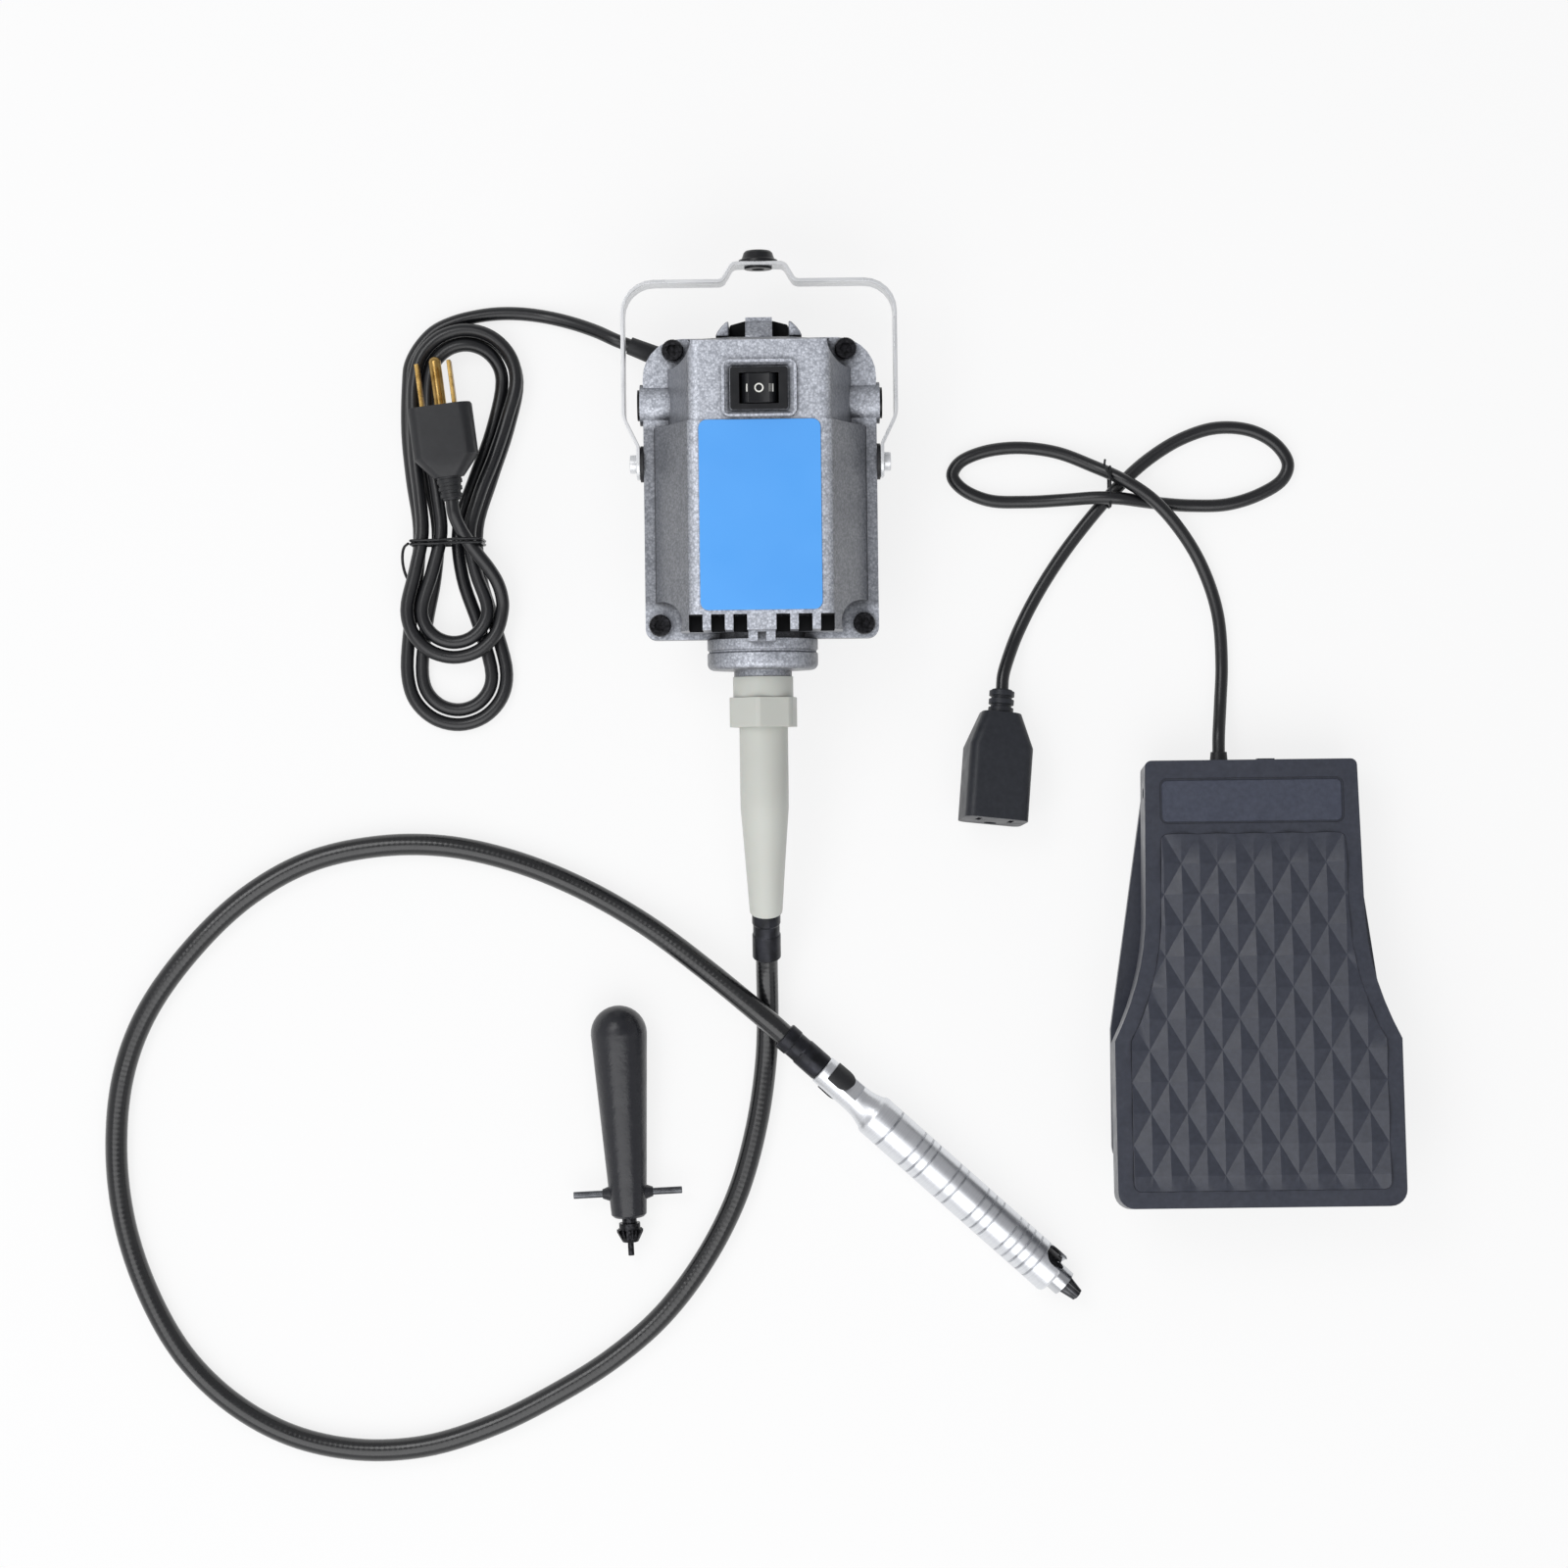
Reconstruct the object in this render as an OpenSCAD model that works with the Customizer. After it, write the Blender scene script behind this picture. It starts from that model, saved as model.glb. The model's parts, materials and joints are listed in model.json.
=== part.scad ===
// Flexible-shaft rotary tool laid out on a table: hanging motor with its bail,
// flex shaft, three-jaw handpiece, chuck key, mains lead and foot speed pedal.
// Millimetres. The origin is the centre of the motor's back face; the motor lies
// on that face, +Y runs along its axis towards the hanging bail, +Z is up.

/* [Motor housing] */
// Width across the flanges where the two housing halves meet
housing_w = 90; // [86:1:96]
// Length of the housing along the motor's axis
housing_l = 116; // [114:1:124]
// Depth of one housing half, from the split to its flat face
half_d = 38; // [37:0.5:41]
// Thickness of the flange round each half
flange_t = 5; // [3:0.5:7]
// Width of the flat face of each half
plateau_w = 52.8; // [48:0.4:56]
// Rounding between the flat face and the sloping sides
shoulder_r = 5; // [2:0.5:8]
// Radius of the bosses that hold the brush holders
brush_boss_r = 8; // [7:0.25:9]
// Distance of the brushes from the middle of the housing
brush_y = 33; // [31:0.5:34]
// Width of one cooling slot at the nose end
slot_w = 5.2; // [3:0.2:6]
// Depth of the cooling slots from the nose end
slot_l = 8; // [5:0.5:9]
// Diameter of the hexagon socket bolts' thread
bolt_d = 5; // [4:0.5:6]

/* [Motor inside] */
// Outer diameter of the stator
stator_d = 66; // [60:0.5:67]
// Length of the stator and of the armature's core
stator_l = 40; // [30:1:44]
// Outer diameter of the armature's core
armature_d = 36; // [30:0.5:40]
// Air gap between the armature and the stator's poles
air_gap = 0.5; // [0.3:0.1:1]
// Diameter of the armature shaft
shaft_d = 8; // [7:0.5:9]
// Diameter of the commutator
commutator_d = 22; // [18:0.5:24]
// Diameter of the cooling fan
fan_d = 56; // [44:1:60]

/* [Bail] */
// Outside width of the bail between its long arms
bail_w = 106.6; // [104:0.2:116]
// Height of the bail's cross bar above its pivots
bail_h = 69; // [64:1:76]
// Width of the steel strip
strip_w = 14; // [10:0.5:16]
// Thickness of the steel strip
strip_t = 1.4; // [1:0.1:2]
// Height of the raised crown above the cross bar
crown_h = 7.5; // [4:0.5:10]
// Diameter of the hole for a hook through the crown
hook_hole_d = 5; // [4:0.25:7]

/* [Flex shaft] */
// Diameter of the flexible sheath
sheath_d = 8.7; // [8:0.1:9]
// Diameter of the crimped ferrules at both ends of the sheath
ferrule_d = 11.2; // [10.4:0.1:12]
// Length of a crimped ferrule
ferrule_l = 20; // [16:1:22]
// Diameter of the strain boot where it leaves the nut
boot_d = 18.8; // [16:0.2:20]
// Diameter of the strain boot at its small end
boot_tip_d = 12.8; // [12.2:0.1:14]
// Width across the flats of the coupling nut
nut_af = 24.6; // [23.6:0.2:27]

/* [Handpiece] */
// Diameter of the grip
grip_d = 17.2; // [17:0.1:18.6]
// Length of the grip from its shoulder to its lip
grip_l = 95.5; // [90:0.5:102]
// Length of the narrow rear end in front of which the grip starts
collar_l = 27.5; // [25:0.5:30]
// Depth of the turned grooves round the grip
groove_depth = 0.4; // [0.2:0.05:0.6]
// Distance the handpiece pulls off the sheath
pull_off = 30; // [20:1:40]
// Slope of the jaws against the spindle's axis
jaw_slope = 12; // [10:0.5:14]

/* [Chuck key] */
// Largest diameter of the key's handle
key_d = 22.2; // [20:0.2:24]
// Length of the key's handle
key_handle_l = 84; // [76:1:92]
// Length of the cross pin
key_pin_l = 43; // [34:1:50]
// Number of teeth on the key's pinion
key_teeth = 12; // [9:1:14]

/* [Foot pedal] */
// Length of the pedal's plate
pedal_l = 174; // [168:1:182]
// Width of the plate at the hinge end
pedal_w1 = 83; // [78:1:88]
// Width of the plate at the free end
pedal_w2 = 111.4; // [108:0.2:118]
// Angle at which the plate stands up when it is released
pedal_tilt = 7; // [5:0.5:8]
// Depth of the plate with its skirt
plate_d = 18; // [16:0.5:18]
// Wall of the plate's skirt and of the base
pedal_wall = 2.4; // [2:0.1:3]
// Height of one tread pyramid
tread_h = 1.6; // [1:0.1:2.2]
// Width of one tread pyramid
tread_pitch = 14.1; // [10:0.1:18]

/* [Cords] */
// Diameter of the mains lead
mains_d = 5.3; // [5:0.1:5.4]
// Diameter of the pedal's lead
lead_d = 5.1; // [4.8:0.1:5.2]
// Centre distance of neighbouring loops in the mains hank
loop_step = 5.9; // [5.9:0.1:6.2]

/* [Hidden] */
$fn = 64;

CAST_GREY = [0.46, 0.48, 0.51];
STEEL = [0.78, 0.79, 0.80];
DARK_STEEL = [0.16, 0.16, 0.17];
CHROME = [0.86, 0.87, 0.88];
BRASS = [0.80, 0.62, 0.28];
COPPER = [0.72, 0.40, 0.22];
BLACK = [0.06, 0.06, 0.07];
PEDAL_GREY = [0.19, 0.20, 0.22];
BOOT_GREY = [0.76, 0.77, 0.74];
LABEL_BLUE = [0.36, 0.67, 0.97];

slip = 0.1;      // radial clearance of a part that is fitted by hand
running = 0.05;  // radial clearance of a part that turns or slides in use
seat = 0.3;      // gap between soft or curved faces of different bodies
eps = 0.01;      // overlap of shapes joined in one solid

// ---- rounded outlines --------------------------------------------------------

function unit(v) = v / norm(v);

// Points of the arc of radius r that rounds corner b between a and c
function corner(a, b, c, r, n) =
    let (u = unit(a - b), w = unit(c - b), half = acos(u * w) / 2, sweep = 180 - 2 * half,
         m = b + unit(u + w) * r / sin(half),
         p = unit(b + u * r / tan(half) - m), q = unit(b + w * r / tan(half) - m))
    [for (i = [0 : n]) m + r * (sin(sweep * (1 - i / n)) * p + sin(sweep * i / n) * q) / sin(sweep)];

// Outline whose corner i is rounded with radius radii[i], or left sharp where that is 0
function rounded(pts, radii, n = 5) =
    [for (i = [0 : len(pts) - 1])
        let (a = pts[(i + len(pts) - 1) % len(pts)], c = pts[(i + 1) % len(pts)])
        each (radii[i] > 0 ? corner(a, pts[i], c, radii[i], n) : [pts[i]])];

function rect_pts(w, h) = [[-w / 2, -h / 2], [w / 2, -h / 2], [w / 2, h / 2], [-w / 2, h / 2]];
function round_rect(w, h, r) = rounded(rect_pts(w, h), [r, r, r, r]);

// ---- tubes swept along a route -----------------------------------------------

// Ring of the tube: across lies level, up completes the frame
function ring(p, dir, r, sides) =
    let (t = unit(dir), across = unit(cross(t, [0, 0, 1])), up = cross(across, t))
    [for (k = [0 : sides - 1])
        p + r * (cos(360 * k / sides) * across + sin(360 * k / sides) * up)];

function tangents(pts) =
    [for (i = [0 : len(pts) - 1])
        let (a = pts[max(i - 1, 0)], b = pts[min(i + 1, len(pts) - 1)]) unit(b - a)];

// One closed tube through pts. radii is one number or one for each point; first
// and last set the direction of the end faces.
module tube(pts, radii, sides, first = undef, last = undef) {
    n = len(pts);
    dirs = tangents(pts);
    verts = [for (i = [0 : n - 1])
        let (dir = i == 0 && !is_undef(first) ? first :
                   i == n - 1 && !is_undef(last) ? last : dirs[i],
             r = is_list(radii) ? radii[i] : radii)
        each ring(pts[i], dir, r, sides)];
    walls = [for (i = [0 : n - 2], k = [0 : sides - 1])
        let (a = i * sides + k, b = i * sides + (k + 1) % sides)
        each [[a, b, b + sides], [a, b + sides, a + sides]]];
    start_cap = [for (k = [1 : sides - 2]) [0, k + 1, k]];
    end_cap = [for (k = [1 : sides - 2])
        [(n - 1) * sides, (n - 1) * sides + k, (n - 1) * sides + k + 1]];
    polyhedron(verts, concat(walls, start_cap, end_cap), convexity = 6);
}

// ---- motor housing -----------------------------------------------------------

axis_z = half_d;
stator_y = -4;                       // middle of the stator
stator_top = stator_y + stator_l / 2;
foot_w = housing_w - 8;              // the sloping side meets the flange here
neck_w = 70.6;                       // the same beside the brush bosses
neck_y = brush_y - brush_boss_r - 1.5;
bulge_end = housing_l / 2 - 1;       // the halves' end faces, inside the flange
stator_bore_r = stator_d / 2 + slip;
top_bore_r = stator_bore_r - 6;      // both ends of the cavity stay inside the bolt pockets
fan_bore_r = fan_d / 2 + 2;
cavity_end = -housing_l / 2 + slot_l;
top_wall = 8;
cavity_top = bulge_end - top_wall;
bolt_top = [housing_w / 2 - 11.7, housing_l / 2 - 4.8];
bolt_low = [housing_w / 2 - 5.7, -housing_l / 2 + 5.4];
bolt_head_d = 1.7 * bolt_d;
pocket_r = bolt_head_d / 2 + 4.2;
slot_pitch = 8.4;
slot_first = 8.1;
tab_w = 10.2;
spigot_r = 17;
dome_r = 15.5;
dome_h = 8;
dome_top_r = 9.5;
window_w = 6;
window_x = 8.2;

bearing_r = 11;                      // bearing at the nose
bearing_w = 7;
top_bearing_r = 9.5;                 // bearing under the dome
top_bearing_w = 6;
journal_r = 3;                       // the shaft's thinner end in it

switch_y = 35;
switch_w = 21.7;
switch_h = 15.9;
switch_hole = [19.2, 13.2];
switch_depth = 14;
rim_w = switch_w + 6.6;
rim_h = switch_h + 5.6;
rim_t = 2;
rocker_w = 14.3;
rocker_h = 11.1;
rocker_play = 0.25;

gland_at = [-29, 50.5, 13];          // where the mains lead leaves the rear half
gland_turn = 158;                    // its direction on the table
gland_l = 24;
gland_r = 4.6;

pivot_y = 10.3;
pivot_r = 2.5;
pivot_head_r = 3.6;
pivot_head_h = 2.6;
washer_r = 7;
washer_t = 1.4;
ear_x = housing_w / 2 + washer_t;    // inner face of the bail's ears

// Outline of the flange: wide round corners at the top, tight ones at the nose
flange_outline = rounded(rect_pts(housing_w, housing_l), [4, 4, 15, 15], 7);

// Section of one half across the motor's axis, depth measured from the split
function bulge(foot) = rounded(
    [[-foot / 2, 0], [foot / 2, 0], [foot / 2, flange_t], [plateau_w / 2, half_d],
     [-plateau_w / 2, half_d], [-foot / 2, flange_t]],
    [0, 0, 0, shoulder_r, shoulder_r, 0], 6);

// Extrudes a section drawn as (x, depth) from y0 to y1
module along_y(y0, y1) {
    translate([0, y1, 0]) rotate([90, 0, 0]) linear_extrude(y1 - y0) children();
}

// Draws children round the motor's axis: local z becomes +Y
module on_axis() {
    translate([0, 0, axis_z]) rotate([-90, 0, 0]) children();
}

// The same in the housing's own frame, where the split is at depth 0
module on_split() {
    rotate([-90, 0, 0]) children();
}

module upper_half(w = 120, d = 60) {
    intersection() {
        children();
        translate([-w / 2, -w, 0]) cube([w, 2 * w, d]);
    }
}

module dome() {
    upper_half() on_split() rotate_extrude()
        polygon([[0, bulge_end - eps], [dome_r, bulge_end - eps], [dome_r, bulge_end + 1],
                 [dome_top_r + 1.5, bulge_end + dome_h - 1.5], [dome_top_r - 4, bulge_end + dome_h],
                 [0, bulge_end + dome_h]]);
    translate([-tab_w / 2, bulge_end - 2, 0]) cube([tab_w, dome_h + 2.5, 9]);
}

// Everything cut from both halves alike
module half_cuts() {
    on_split() {
        translate([0, 0, cavity_end]) cylinder(r = fan_bore_r, h = stator_top - cavity_end, $fn = 96);
        translate([0, 0, stator_top - stator_l - 1]) cylinder(r = stator_bore_r, h = stator_l + 1, $fn = 96);
        translate([0, 0, stator_top - 1]) cylinder(r = top_bore_r, h = cavity_top - stator_top + 1, $fn = 96);
        translate([0, 0, -housing_l / 2 - 1]) cylinder(r = spigot_r + slip, h = slot_l + 2);
        translate([0, 0, cavity_top - 1]) cylinder(r = top_bearing_r, h = top_bearing_w + 1.5);
        translate([0, 0, cavity_top]) cylinder(r = journal_r + 1.5, h = top_wall + 1);
    }
    for (s = [-1, 1]) {
        // room round the bolt heads
        translate([s * bolt_top[0], bolt_top[1], flange_t]) cylinder(r = pocket_r - 1, h = half_d);
        translate([s * bolt_low[0], bolt_low[1], flange_t]) cylinder(r = pocket_r + 0.6, h = half_d);
        // brush holder's seat
        translate([0, brush_y, 0]) rotate([0, s * 90, 0])
            cylinder(r = holder_r, h = housing_w / 2 + 3);
        // pivot bolt's hole
        translate([s * (housing_w / 2 - pivot_depth), pivot_y, 0]) rotate([0, s * 90, 0])
            cylinder(r = pivot_r, h = pivot_depth + 1);
        // cooling slots at the nose
        for (i = [0 : 2])
            translate([s * (slot_first + i * slot_pitch) - slot_w / 2, -housing_l / 2 - 1, spigot_r + 1.5])
                cube([slot_w, slot_l + 1.1, half_d]);
        // air inlets under the dome
        translate([s * window_x - window_w / 2, cavity_top - 1, top_bearing_r + 1.5])
            cube([window_w, dome_h + top_wall, 9]);
        translate([s * window_x - window_w / 2, bulge_end + 0.5, 2]) cube([window_w, dome_h + 2, 20]);
    }
}

pivot_depth = 8;
holder_r = 5.2;
boss_x = housing_w / 2 + 1.3;        // the bosses end a little outside the flange

module housing_half(bolt_hole_r) {
    difference() {
        union() {
            linear_extrude(flange_t) polygon(flange_outline);
            along_y(1.2 - bulge_end, neck_y) polygon(bulge(foot_w));
            along_y(neck_y - eps, bulge_end) polygon(bulge(neck_w));
            upper_half() for (s = [-1, 1])
                translate([0, brush_y, 0]) rotate([0, s * 90, 0]) cylinder(r = brush_boss_r, h = boss_x);
            dome();
            // tab over the nose cap
            translate([-tab_w / 2, -housing_l / 2 - 2, nose_r + slip])
                cube([tab_w, slot_l, half_d - nose_r - slip - 2]);
        }
        half_cuts();
        for (s = [-1, 1], p = [bolt_top, bolt_low])
            translate([s * p[0], p[1], -1]) cylinder(r = bolt_hole_r, h = flange_t + 2);
        // screw notch in the tab
        translate([-1.6, -housing_l / 2 - 3, half_d - 6]) cube([3.2, 4.5, 10]);
    }
}

module front_housing() {
    color(CAST_GREY) translate([0, 0, half_d]) difference() {
        union() {
            housing_half(bolt_d / 2 + slip);
            translate([0, switch_y, half_d - 1])
                linear_extrude(rim_t + 1) polygon(round_rect(rim_w, rim_h, 3));
        }
        // the rim slopes down to the switch on its inside
        translate([0, switch_y, half_d])
            linear_extrude(rim_t + eps, scale = [(rim_w - 2) / (switch_w + 0.6), (rim_h - 2) / (switch_h + 0.6)])
                polygon(round_rect(switch_w + 0.6, switch_h + 0.6, 1));
        translate([-switch_hole[0] / 2 - slip, switch_y - switch_hole[1] / 2 - slip, top_bearing_r + 2])
            cube([switch_hole[0] + 2 * slip, switch_hole[1] + 2 * slip, half_d]);
    }
}

module rear_housing() {
    color(CAST_GREY) difference() {
        union() {
            translate([0, 0, half_d]) mirror([0, 0, 1]) housing_half(bolt_d / 2);
            at_gland() translate([0, 0, -6]) cylinder(r = gland_r + 2.4, h = 9);
        }
        at_gland() translate([0, 0, -12]) cylinder(r = gland_r, h = 20);
    }
}

module housing_bolts() {
    color(DARK_STEEL) for (s = [-1, 1], p = [bolt_top, bolt_low])
        translate([s * p[0], p[1], half_d]) difference() {
            union() {
                translate([0, 0, -flange_t]) cylinder(d = bolt_d - 2 * running, h = 2 * flange_t + 1);
                translate([0, 0, flange_t]) cylinder(d = bolt_head_d, h = bolt_d);
            }
            translate([0, 0, flange_t + bolt_d / 2]) cylinder(d = bolt_d * 0.92, h = bolt_d, $fn = 6);
        }
}

label_w = 46;
label_h = 71.7;
label_t = 0.6;
label_top = switch_y - rim_h / 2 - 0.9;

module label_plate() {
    color(LABEL_BLUE) translate([0, label_top - label_h / 2, 2 * half_d])
        linear_extrude(label_t) polygon(round_rect(label_w, label_h, 3));
}

// ---- nose --------------------------------------------------------------------

nose_r = 21.4;
nose_l = 12;
nose_end = -housing_l / 2 - nose_l;
neck_r = 11.2;
neck_l = 12;
neck_end = nose_end - neck_l;

module nose_cap() {
    color(CAST_GREY) on_axis() difference() {
        rotate_extrude($fn = 96) polygon(concat(
            [[0, -housing_l / 2 + slot_l - 2], [spigot_r, -housing_l / 2 + slot_l - 2],
             [spigot_r, -housing_l / 2 - slip], [nose_r, -housing_l / 2 - slip],
             [nose_r, -housing_l / 2 - 4.2], [nose_r - 0.7, -housing_l / 2 - 4.6],
             [nose_r - 0.7, -housing_l / 2 - 5.2], [nose_r, -housing_l / 2 - 5.6]],
            [for (a = [0 : 15 : 90])
                [nose_r - 2.5 + 2.5 * cos(a), nose_end + 2.5 - 2.5 * sin(a)]],
            [[neck_r, nose_end], [neck_r, neck_end], [0, neck_end]]));
        translate([0, 0, bearing_y - bearing_w / 2]) cylinder(r = bearing_r, h = 30);
        translate([0, 0, neck_end - 1]) cylinder(r = shaft_d / 2 + 2, h = 30);
    }
}

bearing_y = -housing_l / 2 - 3.5;
top_bearing_y = cavity_top + top_bearing_w / 2;

module bearing(r, bore, w) {
    difference() {
        cylinder(r = r - 0.02, h = w, center = true);
        cylinder(r = bore + 0.02, h = w + 1, center = true);
        for (s = [-1, 1]) translate([0, 0, s * w / 2]) rotate_extrude()
            translate([(r + bore) / 2, 0]) square([(r - bore) * 0.4, 0.8], center = true);
    }
}

module motor_bearings() {
    color(STEEL) on_axis() {
        translate([0, 0, bearing_y]) bearing(bearing_r, shaft_d / 2, bearing_w);
        translate([0, 0, top_bearing_y]) bearing(top_bearing_r, journal_r, top_bearing_w);
    }
}

// ---- stator, brushes and armature ---------------------------------------------

stator_bore = armature_d / 2 + air_gap;
yoke_r = stator_d / 2 - 6;
pole_angle = 104;

module sector(r, angle, h) {
    linear_extrude(h, center = true)
        polygon(concat([[0, 0]], [for (a = [-angle / 2 : angle / 4 : angle / 2]) [r * cos(a), r * sin(a)]]));
}

module stator_core() {
    color(STEEL) on_axis() translate([0, 0, stator_y]) difference() {
        cylinder(d = stator_d, h = stator_l, center = true, $fn = 96);
        cylinder(r = stator_bore, h = stator_l + 1, center = true, $fn = 96);
        for (s = [0, 180]) rotate([0, 0, s]) difference() {
            cylinder(r = yoke_r, h = stator_l + 1, center = true, $fn = 96);
            for (q = [90, -90]) rotate([0, 0, q]) sector(2 * yoke_r, pole_angle, stator_l + 2);
        }
    }
}

coil_out = yoke_r - 0.4;
coil_in = stator_bore + 1.2;
coil_end = 7;

// A saddle coil round each pole: two runs in the slots and two arched ends
module field_coils() {
    color(COPPER) on_axis() translate([0, 0, stator_y]) for (s = [90, -90]) rotate([0, 0, s])
        difference() {
            intersection() {
                difference() {
                    cylinder(r = coil_out, h = stator_l + 2 * coil_end, center = true, $fn = 96);
                    cylinder(r = coil_in, h = stator_l + 2 * coil_end + 1, center = true, $fn = 96);
                }
                sector(2 * coil_out, 172, stator_l + 2 * coil_end + 1);
            }
            sector(2 * coil_out, pole_angle + 3, stator_l + 2 * seat);
        }
}

brush_size = [5.5, 7];
brush_l = 14;
holder_in = commutator_d / 2 + 2;

module each_brush() {
    for (s = [-1, 1]) translate([0, brush_y, axis_z]) rotate([0, s * 90, 0]) children();
}

module brush_holders() {
    color(BRASS) each_brush() translate([0, 0, holder_in]) difference() {
        cylinder(r = holder_r - 0.02, h = boss_x - cap_t - holder_in);
        translate([-brush_size[0] / 2 - slip, -brush_size[1] / 2 - slip, -1])
            cube([brush_size[0] + 2 * slip, brush_size[1] + 2 * slip, 60]);
    }
}

module carbon_brushes() {
    color(DARK_STEEL) each_brush() intersection() {
        translate([-brush_size[0] / 2, -brush_size[1] / 2, 0])
            cube([brush_size[0], brush_size[1], commutator_d / 2 + brush_l]);
        difference() {
            cube(100, center = true);
            rotate([90, 0, 0]) cylinder(r = commutator_d / 2 + running, h = 100, center = true);
        }
    }
}

cap_t = 3;
cap_r = 6;                           // flange of a brush cap
coin_slot = 1.2;                     // width of the slots in brush caps and pivot bolts
spring_r = 2.2;

module brush_springs() {
    color(STEEL) each_brush() translate([0, 0, commutator_d / 2 + brush_l + slip]) difference() {
        cylinder(r = spring_r, h = boss_x - cap_t - commutator_d / 2 - brush_l - 2 * slip);
        translate([0, 0, -1]) cylinder(r = spring_r - 0.7, h = 60);
    }
}

module brush_caps() {
    color(BLACK) each_brush() translate([0, 0, boss_x - cap_t + slip]) difference() {
        union() {
            cylinder(r = holder_r - slip, h = cap_t);
            translate([0, 0, cap_t - slip]) cylinder(r = cap_r, h = 1);
        }
        translate([-coin_slot / 2, -cap_r + 1, cap_t]) cube([coin_slot, 2 * cap_r - 2, cap_t]);
    }
}

tip_l = 9;

module armature_shaft() {
    color(STEEL) on_axis() {
        translate([0, 0, neck_end]) cylinder(d = shaft_d, h = brush_y + 12 - neck_end);
        translate([0, 0, brush_y + 12 - eps]) cylinder(r = journal_r, h = cavity_top + top_wall - brush_y - 12);
        // square driving tip that the flex core plugs on to
        translate([-1.9, -1.9, neck_end - tip_l]) cube([3.8, 3.8, tip_l + eps]);
    }
}

module armature_core() {
    slots = 12;
    color(DARK_STEEL) on_axis() translate([0, 0, stator_y]) difference() {
        cylinder(d = armature_d, h = stator_l, center = true, $fn = 96);
        cylinder(d = shaft_d, h = stator_l + 1, center = true);
        for (i = [0 : slots - 1]) rotate([0, 0, i * 360 / slots])
            translate([armature_d / 2 - 3, 0, 0]) cube([8, 2.4, stator_l + 1], center = true);
    }
}

module commutator() {
    bars = 24;
    color(COPPER) on_axis() translate([0, 0, brush_y]) difference() {
        cylinder(d = commutator_d, h = 14, center = true, $fn = 96);
        cylinder(d = shaft_d, h = 15, center = true);
        for (i = [0 : bars - 1]) rotate([0, 0, i * 360 / bars])
            translate([commutator_d / 2, 0, 0]) cube([1, 0.5, 15], center = true);
    }
}

fan_y = cavity_end + 8;
fan_w = 8;

module cooling_fan() {
    blades = 9;
    color(STEEL) on_axis() translate([0, 0, fan_y - fan_w / 2]) difference() {
        union() {
            cylinder(d = fan_d, h = 1.2);
            cylinder(d = shaft_d + 8, h = fan_w);
            for (i = [0 : blades - 1]) rotate([0, 0, i * 360 / blades])
                translate([shaft_d / 2 + 2, -0.6, 0]) cube([fan_d / 2 - shaft_d / 2 - 3, 1.2, fan_w]);
        }
        translate([0, 0, -1]) cylinder(d = shaft_d, h = fan_w + 2);
    }
}

// ---- switch ------------------------------------------------------------------

switch_t = 1.4;
rocker_pivot_z = 2 * half_d - 3.5;

module switch_frame() {
    color(BLACK) translate([0, switch_y, 2 * half_d]) difference() {
        union() {
            linear_extrude(switch_t) polygon(round_rect(switch_w, switch_h, 1));
            translate([-switch_hole[0] / 2, -switch_hole[1] / 2, -switch_depth])
                cube([switch_hole[0], switch_hole[1], switch_depth + eps]);
        }
        translate([-rocker_w / 2 - rocker_play, -rocker_h / 2 - rocker_play, -9])
            cube([rocker_w + 2 * rocker_play, rocker_h + 2 * rocker_play, 20]);
        // trunnion holes
        translate([0, 0, rocker_pivot_z - 2 * half_d]) rotate([90, 0, 0])
            cylinder(r = 1.05, h = rocker_h + 2, center = true);
    }
}

// Rocker with a hollowed face: a barrel section with a shallow saddle
module switch_rocker() {
    color(BLACK) translate([0, switch_y, rocker_pivot_z]) {
        intersection() {
            translate([-rocker_w / 2, -rocker_h / 2, -3]) cube([rocker_w, rocker_h, 10]);
            difference() {
                rotate([90, 0, 0]) cylinder(r = rocker_w / 2 - running, h = rocker_h, center = true);
                translate([0, 0, 27.4]) rotate([90, 0, 0])
                    cylinder(r = 22, h = 2 * rocker_h, center = true, $fn = 128);
            }
        }
        rotate([90, 0, 0]) cylinder(r = 1, h = rocker_h + 1.4, center = true);
    }
}

// ---- bail --------------------------------------------------------------------

ear_low = 6;                         // the ear's round end below the pivot
knee_y = 27;                         // the slanting part of the arm ends here
bar_y = pivot_y + bail_h;            // inner face of the cross bar
crown_w = 20;
crown_foot = 28;

// Centre line of the strip's right half, grown outwards by g, from ear to crown
function bail_side(g) = let (x = bail_w / 2 - strip_t / 2, ex = ear_x + strip_t / 2) [
    [ex + g, pivot_y - ear_low], [ex + g, pivot_y + 6.5], [x + g, knee_y + 1],
    [x + g, bar_y + strip_t / 2 + g], [crown_foot / 2 + g * 0.6, bar_y + strip_t / 2 + g],
    [crown_w / 2 + g * 0.6, bar_y + crown_h + g], [0, bar_y + crown_h + g]];
function bail_radii(g) = [0, 4 - g, 8 + g, 12 + g, 3 - g, 3 + g, 0];
function bail_edge(g) = let (half = bail_side(g), r = bail_radii(g))
    [for (i = [0 : len(half) - 2])
        each (r[i] > 0 ? corner(half[i - 1], half[i], half[i + 1], r[i], 6) : [half[i]])];
function mirrored(pts) = [for (i = [len(pts) - 1 : -1 : 0]) [-pts[i][0], pts[i][1]]];

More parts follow.
